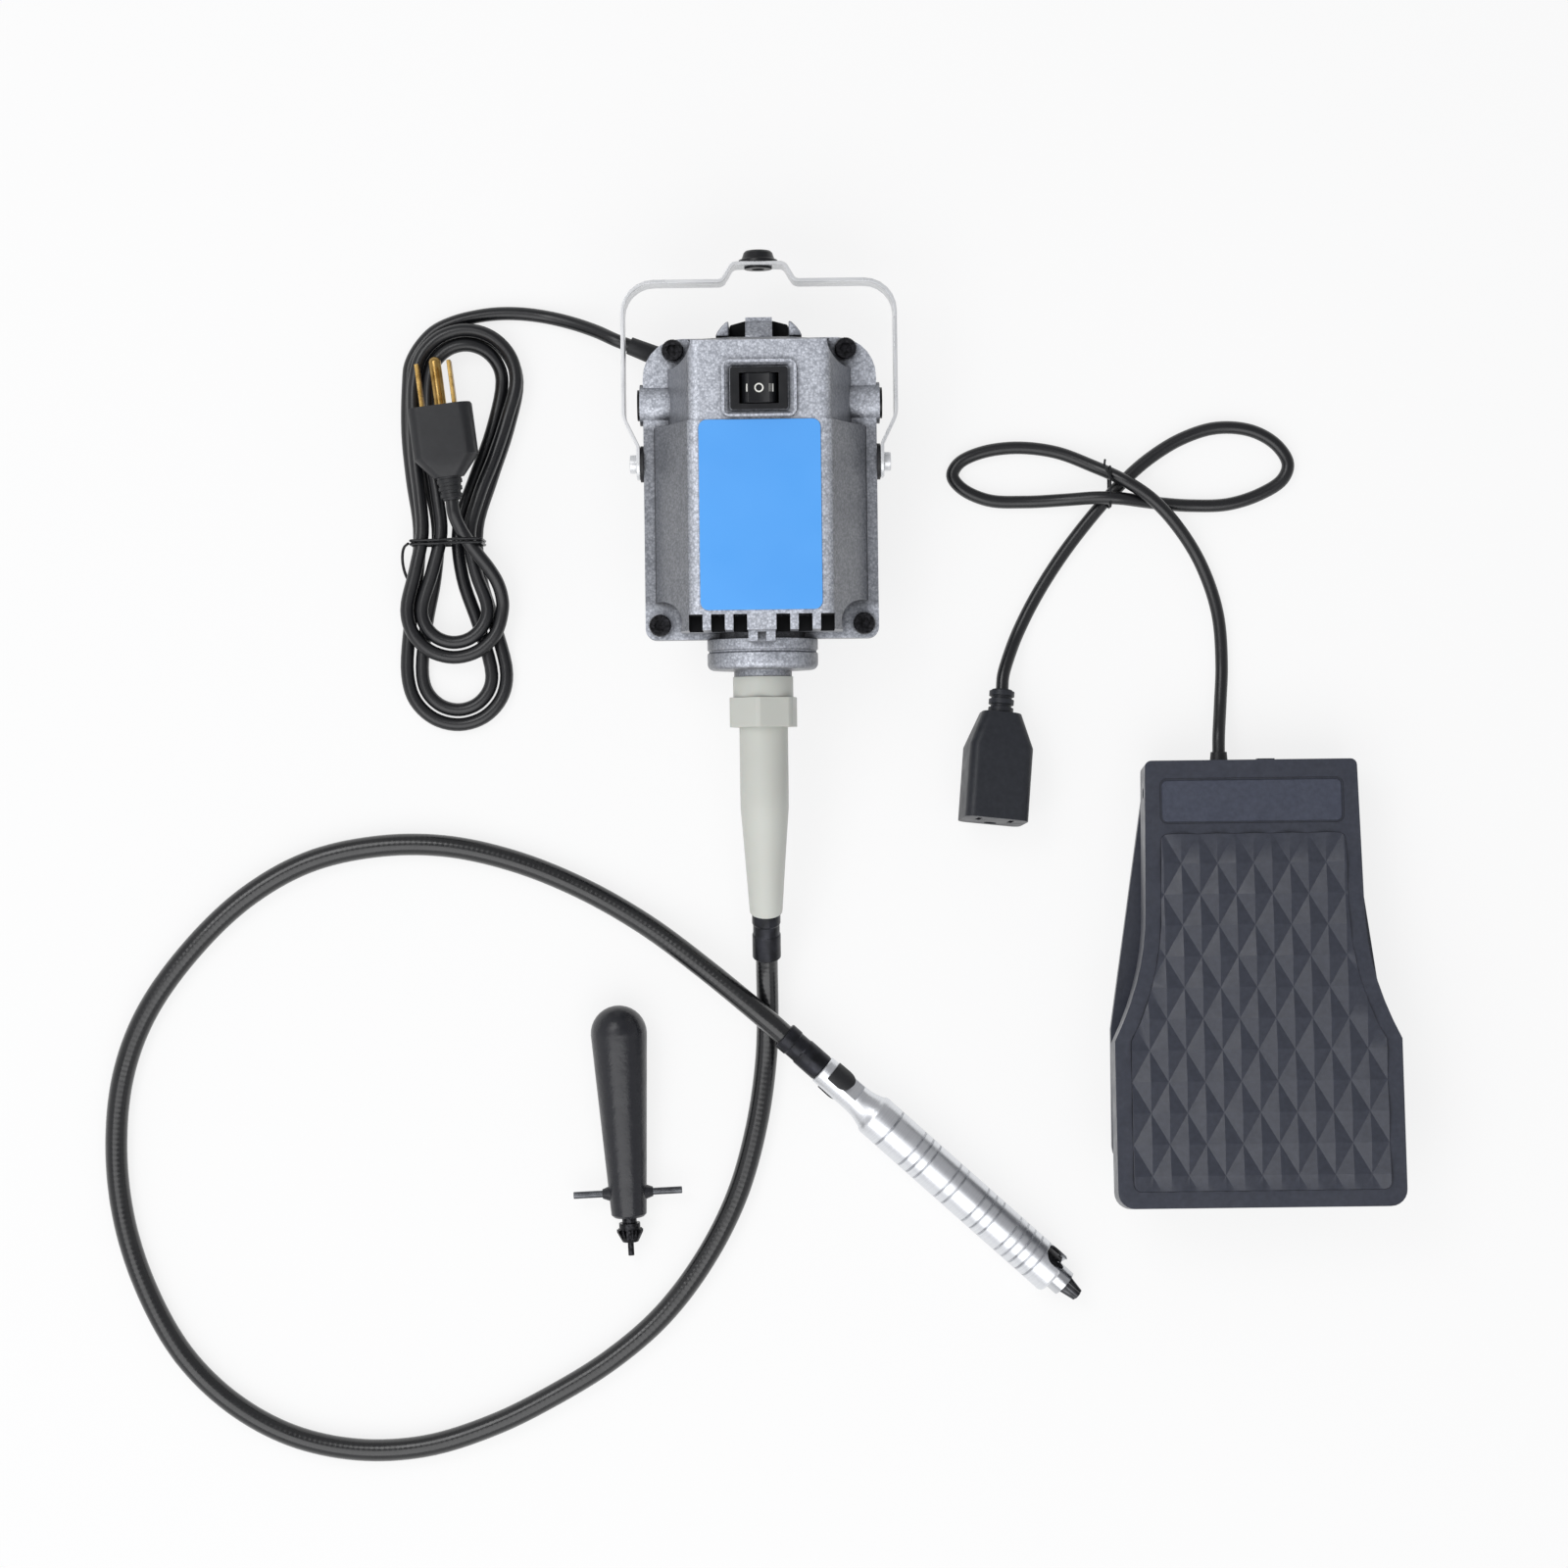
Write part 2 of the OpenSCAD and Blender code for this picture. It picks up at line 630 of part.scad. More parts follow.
module hanger_bail() {
    outer = bail_edge(strip_t / 2);
    inner = bail_edge(-strip_t / 2);
    color(CHROME) difference() {
        translate([0, 0, axis_z - strip_w / 2]) linear_extrude(strip_w)
            polygon(concat(outer, mirrored(outer), [for (p = inner) [-p[0], p[1]]],
                [for (i = [len(inner) - 1 : -1 : 0]) inner[i]]));
        // pivot holes
        translate([-bail_w, pivot_y, axis_z]) rotate([0, 90, 0]) cylinder(r = pivot_r + running, h = 2 * bail_w);
        // round ear ends
        for (s = [-1, 1]) translate([s * (ear_x + strip_t / 2), pivot_y, axis_z]) rotate([0, 90, 0])
            difference() {
                translate([-strip_w, -3 * strip_w, -3]) cube([2 * strip_w, 3 * strip_w, 6]);
                cylinder(r = strip_w / 2, h = 8, center = true);
            }
        // hole for the grommet
        translate([0, bar_y, axis_z]) rotate([-90, 0, 0]) cylinder(r = grommet_r, h = 2 * crown_h);
    }
}

grommet_r = 4;
grommet_flange_r = 7.6;
crown_y = bar_y + crown_h;

module hanger_grommet() {
    color(BLACK) translate([0, crown_y, axis_z]) rotate([-90, 0, 0]) difference() {
        rotate_extrude() polygon([[0, -1.6], [grommet_r + 1.4, -1.6], [grommet_r + 1.4, -strip_t / 2 - 0.02],
            [grommet_r - 0.02, -strip_t / 2 - 0.02], [grommet_r - 0.02, strip_t / 2 + 0.02],
            [grommet_flange_r, strip_t / 2 + 0.02], [grommet_flange_r, strip_t / 2 + 1.2], [6.4, strip_t / 2 + 1.6],
            [5.6, strip_t / 2 + 4], [4.8, strip_t / 2 + 4.8], [0, strip_t / 2 + 4.8]]);
        translate([0, 0, -5]) cylinder(d = hook_hole_d, h = 20);
    }
}

module pivot_washers() {
    color(BLACK) for (s = [-1, 1]) translate([s * housing_w / 2, pivot_y, axis_z]) rotate([0, s * 90, 0])
        difference() {
            cylinder(r = washer_r, h = washer_t - running);
            translate([0, 0, -1]) cylinder(r = pivot_r + slip, h = washer_t + 2);
        }
}

module pivot_bolts() {
    color(CHROME) for (s = [-1, 1]) translate([s * (housing_w / 2 - pivot_depth + 0.5), pivot_y, axis_z])
        rotate([0, s * 90, 0]) {
            reach = pivot_depth - 0.5 + washer_t + strip_t + running;
            cylinder(r = pivot_r - 0.02, h = reach + 1);
            difference() {
                translate([0, 0, reach]) cylinder(r = pivot_head_r, h = pivot_head_h);
                translate([-coin_slot / 2, -washer_r, reach + 0.6 * pivot_head_h])
                    cube([coin_slot, 2 * washer_r, pivot_head_h]);
            }
        }
}

// ---- flex shaft --------------------------------------------------------------

sleeve_l = 8;
nut_l = 11.5;
nut_turn = 81;                       // one corner of the nut lies near its top
nut_start = nose_end - 2.5;          // the nut's sleeve starts just under the nose
nut_end = nut_start - sleeve_l - nut_l;
boot_l = 72;                         // length of the boot on the table
boot_drop = 25;                      // slope of the boot's small end, in degrees
boot_bend = boot_l / sin(boot_drop);
boot_end = [0, nut_end - boot_l, axis_z - boot_bend * (1 - cos(boot_drop))];
boot_dir = [0, -cos(boot_drop), -sin(boot_drop)];

module coupling_nut() {
    color(BOOT_GREY) on_axis() difference() {
        union() {
            translate([0, 0, nut_start - sleeve_l]) cylinder(d = 23.3, h = sleeve_l);
            intersection() {
                translate([0, 0, nut_end]) rotate([0, 0, nut_turn]) cylinder(d = nut_af / cos(30), h = nut_l, $fn = 6);
                translate([0, 0, nut_end]) cylinder(d = nut_af / cos(30) - 1.4, h = nut_l);
            }
        }
        translate([0, 0, neck_end - 0.02]) cylinder(r = neck_r + 0.02, h = 30);
        translate([0, 0, nut_end - 1]) cylinder(d = boot_d + 2 * 0.02, h = 30);
    }
}

function boot_point(a) = [0, nut_end - boot_bend * sin(a), axis_z - boot_bend * (1 - cos(a))];
function boot_r(t) = t < 0.42 ? boot_d / 2 : boot_d / 2 + (boot_tip_d - boot_d) / 2 * pow((t - 0.42) / 0.58, 0.9);

module strain_boot() {
    steps = 14;
    color(BOOT_GREY) difference() {
        tube(concat([[0, neck_end - slip, axis_z]], [for (i = [0 : steps]) boot_point(boot_drop * i / steps)]),
             concat([boot_d / 2], [for (i = [0 : steps]) boot_r(i / steps)]), 28, [0, -1, 0], boot_dir);
        on_axis() translate([0, 0, neck_end - tip_l - 2]) cylinder(r = 4.5, h = tip_l + 3);
    }
}

// Draws children with local z along the motor-side ferrule, from the boot's end
module at_motor_ferrule() {
    translate(boot_end) rotate([90 + boot_drop, 0, 0]) children();
}

module ferrule(l) {
    rotate_extrude() polygon([[0, 0], [ferrule_d / 2 - 0.3, 0], [ferrule_d / 2, 0.3], [ferrule_d / 2, 4.6],
        [ferrule_d / 2 - 0.35, 5.2], [ferrule_d / 2 - 0.35, l * 0.46], [ferrule_d / 2, l * 0.5],
        [ferrule_d / 2, l - 0.4], [ferrule_d / 2 - 0.4, l], [0, l]]);
}

module motor_ferrule() {
    color(BLACK) at_motor_ferrule() ferrule(ferrule_l);
}

// The handpiece lies with its lip on the table and its rear on the crossing sheath
tool_at = [21.2, -226.4, 14.1];
tool_turn = -42.4;
tool_roll = 55;                      // turns one side pad upwards
lip_at = collar_l + grip_l;
tool_dip = asin((tool_at[2] - grip_d / 2 - 0.15) / lip_at);
tool_dir = [cos(tool_turn) * cos(tool_dip), sin(tool_turn) * cos(tool_dip), -sin(tool_dip)];

module at_tool() {
    translate(tool_at) rotate([0, 90 + tool_dip, tool_turn]) rotate([0, 0, tool_roll]) children();
}

sheath_start = boot_end + ferrule_l * boot_dir;
sheath_end = tool_at - ferrule_l * tool_dir;
lie = sheath_d / 2 + 0.05;           // height of the sheath's centre on the table
sheath_route = concat([sheath_start, sheath_start + 7 * boot_dir], [
    [0, -207, 5.8], [-1, -225, lie], [-5, -250, lie], [-13, -277, lie], [-26, -302, lie], [-43, -324, lie],
    [-63, -341, lie], [-86, -355, lie], [-111, -367, lie], [-138, -375, lie], [-165, -376, lie],
    [-191, -370, lie], [-214, -357, lie], [-233, -338, lie], [-247, -313, lie], [-256, -285, lie],
    [-259, -256, lie], [-256, -227, lie], [-247, -203, lie], [-230, -179, lie], [-207, -157, lie],
    [-182, -143, lie], [-155, -137, lie], [-128, -137, lie], [-101, -143, lie], [-74, -154, 4.8],
    [-48, -169, 7.5], [-24, -187, 11.8]],
    [sheath_end - 9 * tool_dir, sheath_end]);

module flex_sheath() {
    color(BLACK) tube(sheath_route, sheath_d / 2, 10, boot_dir, tool_dir);
}

plug_in_l = 18;                      // part of the tool ferrule inside the handpiece
plug_in_r = 3.9;

module tool_ferrule() {
    color(BLACK) at_tool() {
        translate([0, 0, -ferrule_l]) ferrule(ferrule_l - running);
        translate([0, 0, -1]) cylinder(r = plug_in_r, h = plug_in_l + 1);
    }
}

// ---- handpiece ---------------------------------------------------------------

collar_r = 6;
grip_r = grip_d / 2;
pad_start = 3.6;
pad_l = 13.8;
grooves = [7.9, 20, 24.1, 27.9, 38.8, 42.9, 53.5, 57.8, 61.8, 70.7, 74.5, 78.2, 82, 86];
race_r = 6.5;                        // grip bearings: outside, bore and width
spindle_r = 3;
race_w = 5;
race_1 = collar_l + 8;
race_2 = lip_at - 24;
head_start = race_2 + race_w + 1;
chuck_r = 7.4;                       // chuck sleeve
sleeve_gap = 0.25;
chuck_bore_r = chuck_r + sleeve_gap;
key_hole_r = 1.5;
sleeve_at = lip_at - 11;
sleeve_len = 9;
teeth = 16;

// Half section of the grip from the collar to the lip
grip_profile = concat(
    [[0, 0], [collar_r - 0.4, 0], [collar_r, 0.4], [collar_r, pad_start + pad_l]],
    [for (i = [1 : 8]) let (t = i / 8)
        [collar_r + (grip_r - 0.9 - collar_r) * t * t, pad_start + pad_l + (collar_l - 1.6 - pad_start - pad_l) * t]],
    [[grip_r - 0.3, collar_l - 0.9], [grip_r, collar_l]],
    [for (g = grooves, p = [[0, -0.45], [-groove_depth, -0.25], [-groove_depth, 0.25], [0, 0.45]])
        [grip_r + p[0], collar_l + g + p[1]]],
    [[grip_r, lip_at - 1], [grip_r - 0.6, lip_at], [0, lip_at]]);

module grip_shell() {
    color(CHROME) at_tool() difference() {
        rotate_extrude() polygon(grip_profile);
        translate([0, 0, -1]) cylinder(r = plug_in_r + slip, h = plug_in_l + 2);
        translate([0, 0, plug_in_l]) cylinder(r = spindle_r + 1.2, h = lip_at);
        for (z = [race_1, race_2]) translate([0, 0, z]) cylinder(r = race_r, h = race_w);
        translate([0, 0, race_2 + race_w - 0.1]) cylinder(r = race_r - 0.6, h = 30);
        translate([0, 0, head_start]) cylinder(r = chuck_bore_r, h = 40);
        // seats of the side pads
        for (s = [-1, 1]) translate([-pad_w / 2 - slip, s > 0 ? pad_seat : -pad_seat - 6, pad_start - slip])
            cube([pad_w + 2 * slip, 6, pad_l + 2 * slip]);
        // window for the chuck key in the lip
        at_window(lip_at - window_l + window_r) {
            cylinder(r = window_r, h = 20);
            translate([-window_r, -window_l, 0]) cube([2 * window_r, window_l, 20]);
        }
    }
}

window_r = 5;
window_l = 9.6;
window_turn = -20;                   // from the upper pad

// Local z points out of the window at height h, and local y away from the lip
module at_window(h) {
    rotate([0, 0, window_turn]) translate([0, 0, h]) rotate([-90, 0, 0]) children();
}

pad_w = 9.6;
pad_r = 7;
pad_seat = 4.6;

module side_pads() {
    color(BLACK) at_tool() for (s = [-1, 1]) intersection() {
        translate([-pad_w / 2, s > 0 ? pad_seat : -pad_seat - 6, pad_start]) cube([pad_w, 6, pad_l]);
        translate([0, 0, pad_start]) cylinder(r1 = pad_r - 0.4, r2 = pad_r, h = pad_l);
        // round rear end, square front end
        translate([0, s * 10, pad_start + pad_w / 2]) rotate([90, 0, 0]) {
            cylinder(d = pad_w, h = 30, center = true);
            translate([-pad_w / 2, -pad_l, -15]) cube([pad_w, pad_l, 30]);
        }
    }
}

module grip_bearings() {
    color(STEEL) at_tool() for (z = [race_1, race_2])
        translate([0, 0, z + race_w / 2]) bearing(race_r, spindle_r, race_w);
}

head_r = 5.4;
nose_out = 5.5;                      // the spindle's nose stands out of the lip
jaw_r = 1.6;
jaw_l = 13;
jaw_tip = lip_at + 13;
jaw_off = 0.9;                       // jaw's centre from the axis at its tip
jaw_travel = 5;
jaw_gap = 0.2;

function jaw_turn(i) = 60 + 120 * i - tool_roll;

// Draws children along jaw i: local z runs back from the tip and outwards
module at_jaw(i) {
    rotate([0, 0, jaw_turn(i)]) translate([jaw_off, 0, jaw_tip]) rotate([0, 180 - jaw_slope, 0]) children();
}

module spindle() {
    color(STEEL) at_tool() difference() {
        union() {
            translate([0, 0, plug_in_l + 2]) cylinder(r = spindle_r, h = head_start + 2 - plug_in_l);
            translate([0, 0, head_start + 1]) cylinder(r = head_r, h = lip_at + nose_out - head_start - 1);
        }
        // square socket for the flex core
        translate([-1.6, -1.6, plug_in_l + 1]) cube([3.2, 3.2, 9]);
        for (i = [0 : 2]) at_jaw(i) translate([0, 0, -10]) cylinder(r = jaw_r + running, h = jaw_l + jaw_travel + 11);
        translate([0, 0, lip_at + nose_out - 8]) cylinder(r = 2.1, h = 20);
        // hole for the key's pilot
        at_window(lip_at - 1) cylinder(r = key_hole_r, h = 20);
    }
}

module chuck_sleeve() {
    color(DARK_STEEL) at_tool() difference() {
        translate([0, 0, sleeve_at]) cylinder(r = chuck_r, h = sleeve_len);
        translate([0, 0, sleeve_at - 1]) cylinder(r = head_r + running, h = sleeve_len + 2);
        translate([0, 0, sleeve_at + 3.5]) cylinder(r = 6.6, h = sleeve_len);
        for (i = [0 : teeth - 1]) rotate([0, 0, (i + 0.5) * 360 / teeth])
            translate([5, -0.55, sleeve_at + sleeve_len - 2]) cube([4, 1.1, 4]);
    }
}

module jaw(i) {
    color(DARK_STEEL) at_tool() intersection() {
        at_jaw(i) cylinder(r = jaw_r, h = jaw_l);
        rotate([0, 0, jaw_turn(i)]) translate([0, 0, jaw_tip - 20]) linear_extrude(19.6)
            polygon([[jaw_gap, 0], [jaw_gap + 20, 20 * tan(60)], [jaw_gap + 20, -20 * tan(60)]]);
    }
}

module jaw_1() { jaw(0); }
module jaw_2() { jaw(1); }
module jaw_3() { jaw(2); }

// ---- chuck key ---------------------------------------------------------------

key_front_d = 14;
key_dome = key_d / 2;
key_dip = asin((key_d - key_front_d) / 2 / (key_handle_l - key_dome));
key_turn = -87.6;
key_dir = [cos(key_turn) * cos(key_dip), sin(key_turn) * cos(key_dip), -sin(key_dip)];
// the handle's widest section touches the table
key_at = [-58.8, -211.8, key_d / 2 * cos(key_dip) + 0.1] - key_dome * key_dir;
key_pin_at = key_handle_l - 9.5;
shank_r = 2.9;
shank_in = 20;                       // length of the shank inside the handle
pinion_at = key_handle_l + 5;
pinion_r = 5.2;
pinion_l = 7.5;
pilot_r = 1.2;

module at_key() {
    translate(key_at) rotate([0, 90 + key_dip, key_turn]) children();
}

module key_handle() {
    color(BLACK) at_key() difference() {
        union() {
            rotate_extrude() polygon(concat(
                [for (a = [0 : 10 : 90]) [key_dome * sin(a), key_dome - key_dome * cos(a)]],
                [[key_front_d / 2, key_handle_l - 1], [key_front_d / 2 - 1, key_handle_l], [0, key_handle_l]]));
            // shoulders that carry the cross pin
            for (s = [-1, 1]) translate([0, s * (key_front_d / 2 - 1.5), key_pin_at]) rotate([-s * 90, 0, 0])
                cylinder(r1 = 3.6, r2 = pin_r + 0.5, h = 4.5);
        }
        translate([0, 0, key_handle_l - shank_in]) cylinder(r = shank_r + 0.02, h = 2 * shank_in);
        translate([0, 0, key_pin_at]) rotate([90, 0, 0]) cylinder(r = pin_r + 0.02, h = 60, center = true);
    }
}

pin_r = 1.4;

module key_pin() {
    color(STEEL) at_key() translate([0, 0, key_pin_at]) rotate([90, 0, 0])
        cylinder(r = pin_r, h = key_pin_l, center = true);
}

// Outline of a toothed wheel with straight flanks
function toothed(n, r, depth) = [for (i = [0 : n - 1], p = [[-0.3, 0], [-0.14, 1], [0.14, 1], [0.3, 0]])
    let (a = 360 * (i + p[0]) / n, q = r - depth * (1 - p[1])) [q * cos(a), q * sin(a)]];

module key_pinion() {
    color(STEEL) at_key() difference() {
        union() {
            translate([0, 0, key_handle_l - shank_in])
                cylinder(r = shank_r, h = pinion_at - key_handle_l + shank_in);
            translate([0, 0, pinion_at - 2.5]) cylinder(r = pinion_r - 1, h = 2.6);
            intersection() {
                translate([0, 0, pinion_at]) linear_extrude(pinion_l - 2.5) polygon(toothed(key_teeth, pinion_r, 1.5));
                translate([0, 0, pinion_at - 1]) cylinder(r1 = pinion_r + 1, r2 = pinion_r - 2, h = pinion_l - 1.5);
            }
            translate([0, 0, pinion_at]) cylinder(r = pilot_r, h = pinion_l + 3);
        }
        // the cross pin passes through the shank
        translate([0, 0, key_pin_at]) rotate([90, 0, 0]) cylinder(r = pin_r + 0.02, h = 60, center = true);
    }
}

// ---- mains lead and its hank --------------------------------------------------

module at_gland() {
    translate(gland_at) rotate([0, 90, gland_turn]) children();
}

module cord_gland() {
    color(BLACK) at_gland() difference() {
        rotate_extrude() polygon([[0, -8], [gland_r - 0.02, -8], [gland_r - 0.02, 3.02], [gland_r + 1.4, 3.02],
            [gland_r + 1.4, 4.4], [4.1, 5], [3.5, gland_l], [0, gland_l]]);
        translate([0, 0, -9]) cylinder(d = mains_d - 1, h = 5);
    }
}

mains_lie = mains_d / 2 + 0.05;
gland_dir = [cos(gland_turn), sin(gland_turn), 0];
mains_start = gland_at + gland_l * gland_dir;

layer_1 = mains_lie;
layer_2 = mains_lie + mains_d + 0.5;
tie_t = 1.2;                         // the hank's tie passes under it at the waist
hank_top = 65.5;                     // reach of the middle loop towards the bail
hank_low = -86;                      // the same at the other end, long loops
hank_short = -58;                    // and short loops, which lie on top
lobe_r = 18.6;                       // half width of the middle loop in the upper lobe
long_lobe_r = 16.7;                  // the same in the lower lobe, long loops
short_lobe_r = 14.5;                 // and short loops
waist_y = -17;
waist_step = 7.4;
waist_reach = 32;
short_reach = 17;                    // below the waist the short loops widen sooner
turn_back = 1.875;                   // turns after which the spiral runs outwards
hank_turns = 3.625;

// Place of a loop in the nest after u turns: 1 outermost on the first layer
function nest(u) = u < turn_back ? 1 - u : 1 - 2 * turn_back + u;
function bell(y, reach) = exp(-pow((y - waist_y) / reach, 2));
function hank_x(y) = -115.2 + 0.035 * y - 7 * bell(y, 60);
function smooth(t) = let (c = min(max(t, 0), 1)) c * c * (3 - 2 * c);
function layer_z(u) = layer_1 + (layer_2 - layer_1) * smooth((u - 1.82) / 0.2);
quarter = 0.125;                     // share of a turn in a quarter of an end

// Strand at y on its run, which is done to the share t: side is -1 left, 1 right
function strand(u, y, w, side, t) =
    let (g = bell(y, u >= 2 && y < waist_y ? short_reach : waist_reach) * smooth(8 * t) * smooth(8 - 8 * t))
    hank_x(y) + side * (w * (1 - g) + waist_step * (1 + nest(u)) * g);

function hank_point(u) =
    let (f = u - floor(u), k = loop_step * nest(u), wu = lobe_r + k, top = hank_top + k,
         wl = (u < 2 ? long_lobe_r : short_lobe_r) + k, low = (u < 2 ? hank_low : hank_short) - k,
         z = layer_z(u), run = 0.5 - 2 * quarter, upper = top - wu, lower = low + wl)
    f < quarter ?
        let (a = 90 * f / quarter) [hank_x(upper) - wu * sin(a), upper + wu * cos(a), z] :
    f < 0.5 - quarter ?
        let (t = (f - quarter) / run, y = upper + (lower - upper) * t)
        [strand(u, y, wu + (wl - wu) * t, -1, t), y, z] :
    f < 0.5 + quarter ?
        let (a = 90 * (f - 0.5) / quarter) [hank_x(lower) + wl * sin(a), lower - wl * cos(a), z] :
    f < 1 - quarter ?
        let (t = (f - 0.5 - quarter) / run, y = lower + (upper - lower) * t)
        [strand(u, y, wl + (wu - wl) * t, 1, t), y, z] :
        let (a = 90 * (1 - f) / quarter) [hank_x(upper) + wu * sin(a), upper + wu * cos(a), z];

hank_from = quarter;
rings_per_turn = 24;
hank_steps = floor((hank_turns - hank_from) * rings_per_turn);
hank_first = hank_point(hank_from);

plug_at = [-121.2, -1.2, 20.3];      // where the plug's strain relief starts
plug_turn = 97;
plug_dir = [cos(plug_turn), sin(plug_turn), 0];
hank_tail = [[-103, -38.5, 10.2], [-104.6, -33, 12], [-107.8, -27.5, 14], [-111.6, -22.5, 15.6],
    [-115.2, -17.5, 16.9], [-118.3, -12.2, 18.2]];

// Lifts the strands over the tie at the waist
function over_tie(p) = [p[0], p[1], p[2] + (tie_t + 0.2) * bell(p[1], waist_reach)];
hank_lifted = [for (i = [0 : hank_steps]) over_tie(hank_point(hank_from + i / rings_per_turn))];
hank_route = concat(hank_lifted, hank_tail, [plug_at - mains_d * plug_dir, plug_at]);

// Least gap of a tube to itself, measured between points at least skip rings apart
function least_gap(pts, d, skip) = min([for (i = [0 : len(pts) - 1 - skip], j = [i + skip : len(pts) - 1])
    norm(pts[i] - pts[j])]) - d;
fine_steps = 5 * hank_steps;
hank_fine = concat([for (i = [0 : fine_steps])
    over_tie(hank_point(hank_from + (hank_turns - hank_from) * i / fine_steps))],
    [for (i = [0 : len(hank_tail) - 1], t = [0 : 0.2 : 0.8])
        let (a = i == 0 ? hank_lifted[hank_steps] : hank_tail[i - 1]) a + (hank_tail[i] - a) * t]);
echo(hank_least_gap = least_gap(hank_fine, mains_d, 12));

module mains_hank() {
    color(BLACK) tube(hank_route, mains_d / 2, 6, [0, -1, 0], plug_dir);
}

mains_route = concat([mains_start, mains_start + 1.1 * mains_d * gland_dir], [
    [-64, 65.5, 9.4], [-74, 69.5, 5.4], [-84, 72.3, 3], [-94, 73.8, mains_lie], [-104, 74, mains_lie],
    [-113, 72.9, mains_lie], [-121.4, 70.8, mains_lie], [-129, 67.2, mains_lie], [-135, 61, mains_lie],
    [-138.7, 54, mains_lie]], [hank_first]);

module mains_cord() {
    color(BLACK) tube(mains_route, mains_d / 2, 8, gland_dir, [0, -1, 0]);
}

// Tie round the waist: grown outwards by g, it passes over the rising tail
function tie_outline(g) =
    let (mid = hank_x(waist_y), x0 = mid - 1.75 * waist_step - mains_d / 2 - 0.7 - g,
         x1 = mid + 1.25 * waist_step + mains_d / 2 + 1.3 + g, z0 = 0.1 + tie_t - g,
         z1 = layer_2 + mains_d / 2 + tie_t + 0.5 + g, peak = hank_tail[4][2] + mains_d / 2 + 0.9 + g)
    rounded([[x0, z0], [x1, z0], [x1, peak], [-119.8 - 0.5 * g, peak], [-126 - 0.5 * g, z1], [x0, z1]],
            [for (i = [0 : 5]) 1.5 + g], 4);

module hank_tie() {
    color(BLACK) translate([0, waist_y + 1.5, 0]) rotate([90, 0, 0]) linear_extrude(3) difference() {
        polygon(tie_outline(tie_t));
        polygon(tie_outline(0));
    }
}

// ---- mains plug --------------------------------------------------------------

plug_body = [17, 25, 20];            // height, width and length of the grip
plug_neck_l = 8;
relief_l = 9;
plug_face = relief_l + plug_neck_l + plug_body[2];
blade = [6.3, 1.6, 17];
blade_pitch = 12.7;
blade_up = -3.4;                     // local x runs down, so this is above the middle
earth_down = 5.6;
earth_r = 2.4;

module at_plug() {
    translate(plug_at) rotate([0, 90, plug_turn]) children();
}

module mains_plug() {
    color(BLACK) at_plug() {
        cylinder(r1 = 3.4, r2 = 5, h = relief_l + 1);
        for (i = [0 : 2]) translate([0, 0, 1 + 2.8 * i]) cylinder(r = 4.3 + 0.35 * i, h = 1.5);
        hull() {
            translate([0, 0, relief_l]) linear_extrude(0.5) polygon(round_rect(10, 12, 4));
            translate([0, 0, relief_l + plug_neck_l]) linear_extrude(plug_body[2])
                polygon(round_rect(plug_body[0], plug_body[1], 5));
        }
    }
}

module plug_pins() {
    color(BRASS) at_plug() translate([0, 0, plug_face]) {
        for (s = [-1, 1]) translate([blade_up - blade[0] / 2, s * blade_pitch / 2 - blade[1] / 2, 0]) cube(blade);
        translate([earth_down, 0, 0]) {
            cylinder(r = earth_r, h = blade[2] + 1);
            translate([0, 0, blade[2] + 1]) sphere(r = earth_r);
        }
    }
}

// ---- foot pedal --------------------------------------------------------------

pedal_at = [190.2, -107.5, 0];       // middle of the plate's hinge end
hinge_y = -12;
hinge_z = 19;
hinge_r = 2;
plate_top = 7;                       // plate's top above the hinge
plate_t = 3;
flare_from = 58;                     // the waist starts to flare here
flare_to = 109.5;
half_1 = pedal_w1 / 2;
half_2 = pedal_w2 / 2;
plate_corner_r = 6.5;

module in_pedal() { translate(pedal_at) children(); }

// Draws the plate's parts level, then stands them up about the hinge
module on_plate() {
    in_pedal() translate([0, hinge_y, hinge_z]) rotate([-pedal_tilt, 0, 0])
        translate([0, -hinge_y, 0]) children();
}

// Half width of the plate at a distance s from its hinge end
function plate_half(s) = let (t = (s - flare_from) / (flare_to - flare_from), h = half_1 + 1.1)
    s < flare_from ? half_1 + 1.1 * s / flare_from : s < flare_to ? h + (half_2 - h) * t * t : half_2;
function flare_slope(s) = s < flare_from || s > flare_to ? 0 :
    2 * (half_2 - half_1 - 1.1) * (s - flare_from) / pow(flare_to - flare_from, 2);

// Outline of the plate drawn in by g, between the distances from and to
function plate_outline(g, from, to, r0, r1) =
    let (right = concat(
            [for (a = [90 : -22.5 : 0]) [plate_half(from) - g - r0 + r0 * cos(a), -from - r0 + r0 * sin(a)]],
            [for (i = [0 : 7]) let (s = flare_from + (flare_to - flare_from) * i / 7)
                [plate_half(s) - g * sqrt(1 + pow(flare_slope(s), 2) * (i < 7 ? 1 : 0.3)), -s]],
            [for (a = [0 : -15 : -90]) [half_2 - g - r1 + r1 * cos(a), -to + r1 + r1 * sin(a)]]))
    concat(right, mirrored(right));

tray_end = pedal_l - 14;
tray_h = 5.5;
base_bottom = 1.5;
base_floor = 4;
base_top = 20;
base_play = 0.8;
wall_from = 5;
spring_s = 120;                      // places along the pedal, from its hinge end
control_s = 60;
plunger_s = 72;
gland_x = -10.7;
lead_z = 9.7;

// Straight-sided outline of the tray under the base
tray_outline = let (w0 = half_1 - 1.5, w1 = half_2 - 1.4)
    rounded([[-w1, -tray_end], [w1, -tray_end], [w1, -flare_to + 4], [w0, -8], [w0, -3],
             [-w0, -3], [-w0, -8], [-w1, -flare_to + 4]], [8, 8, 6, 0, 2, 2, 0, 6], 5);

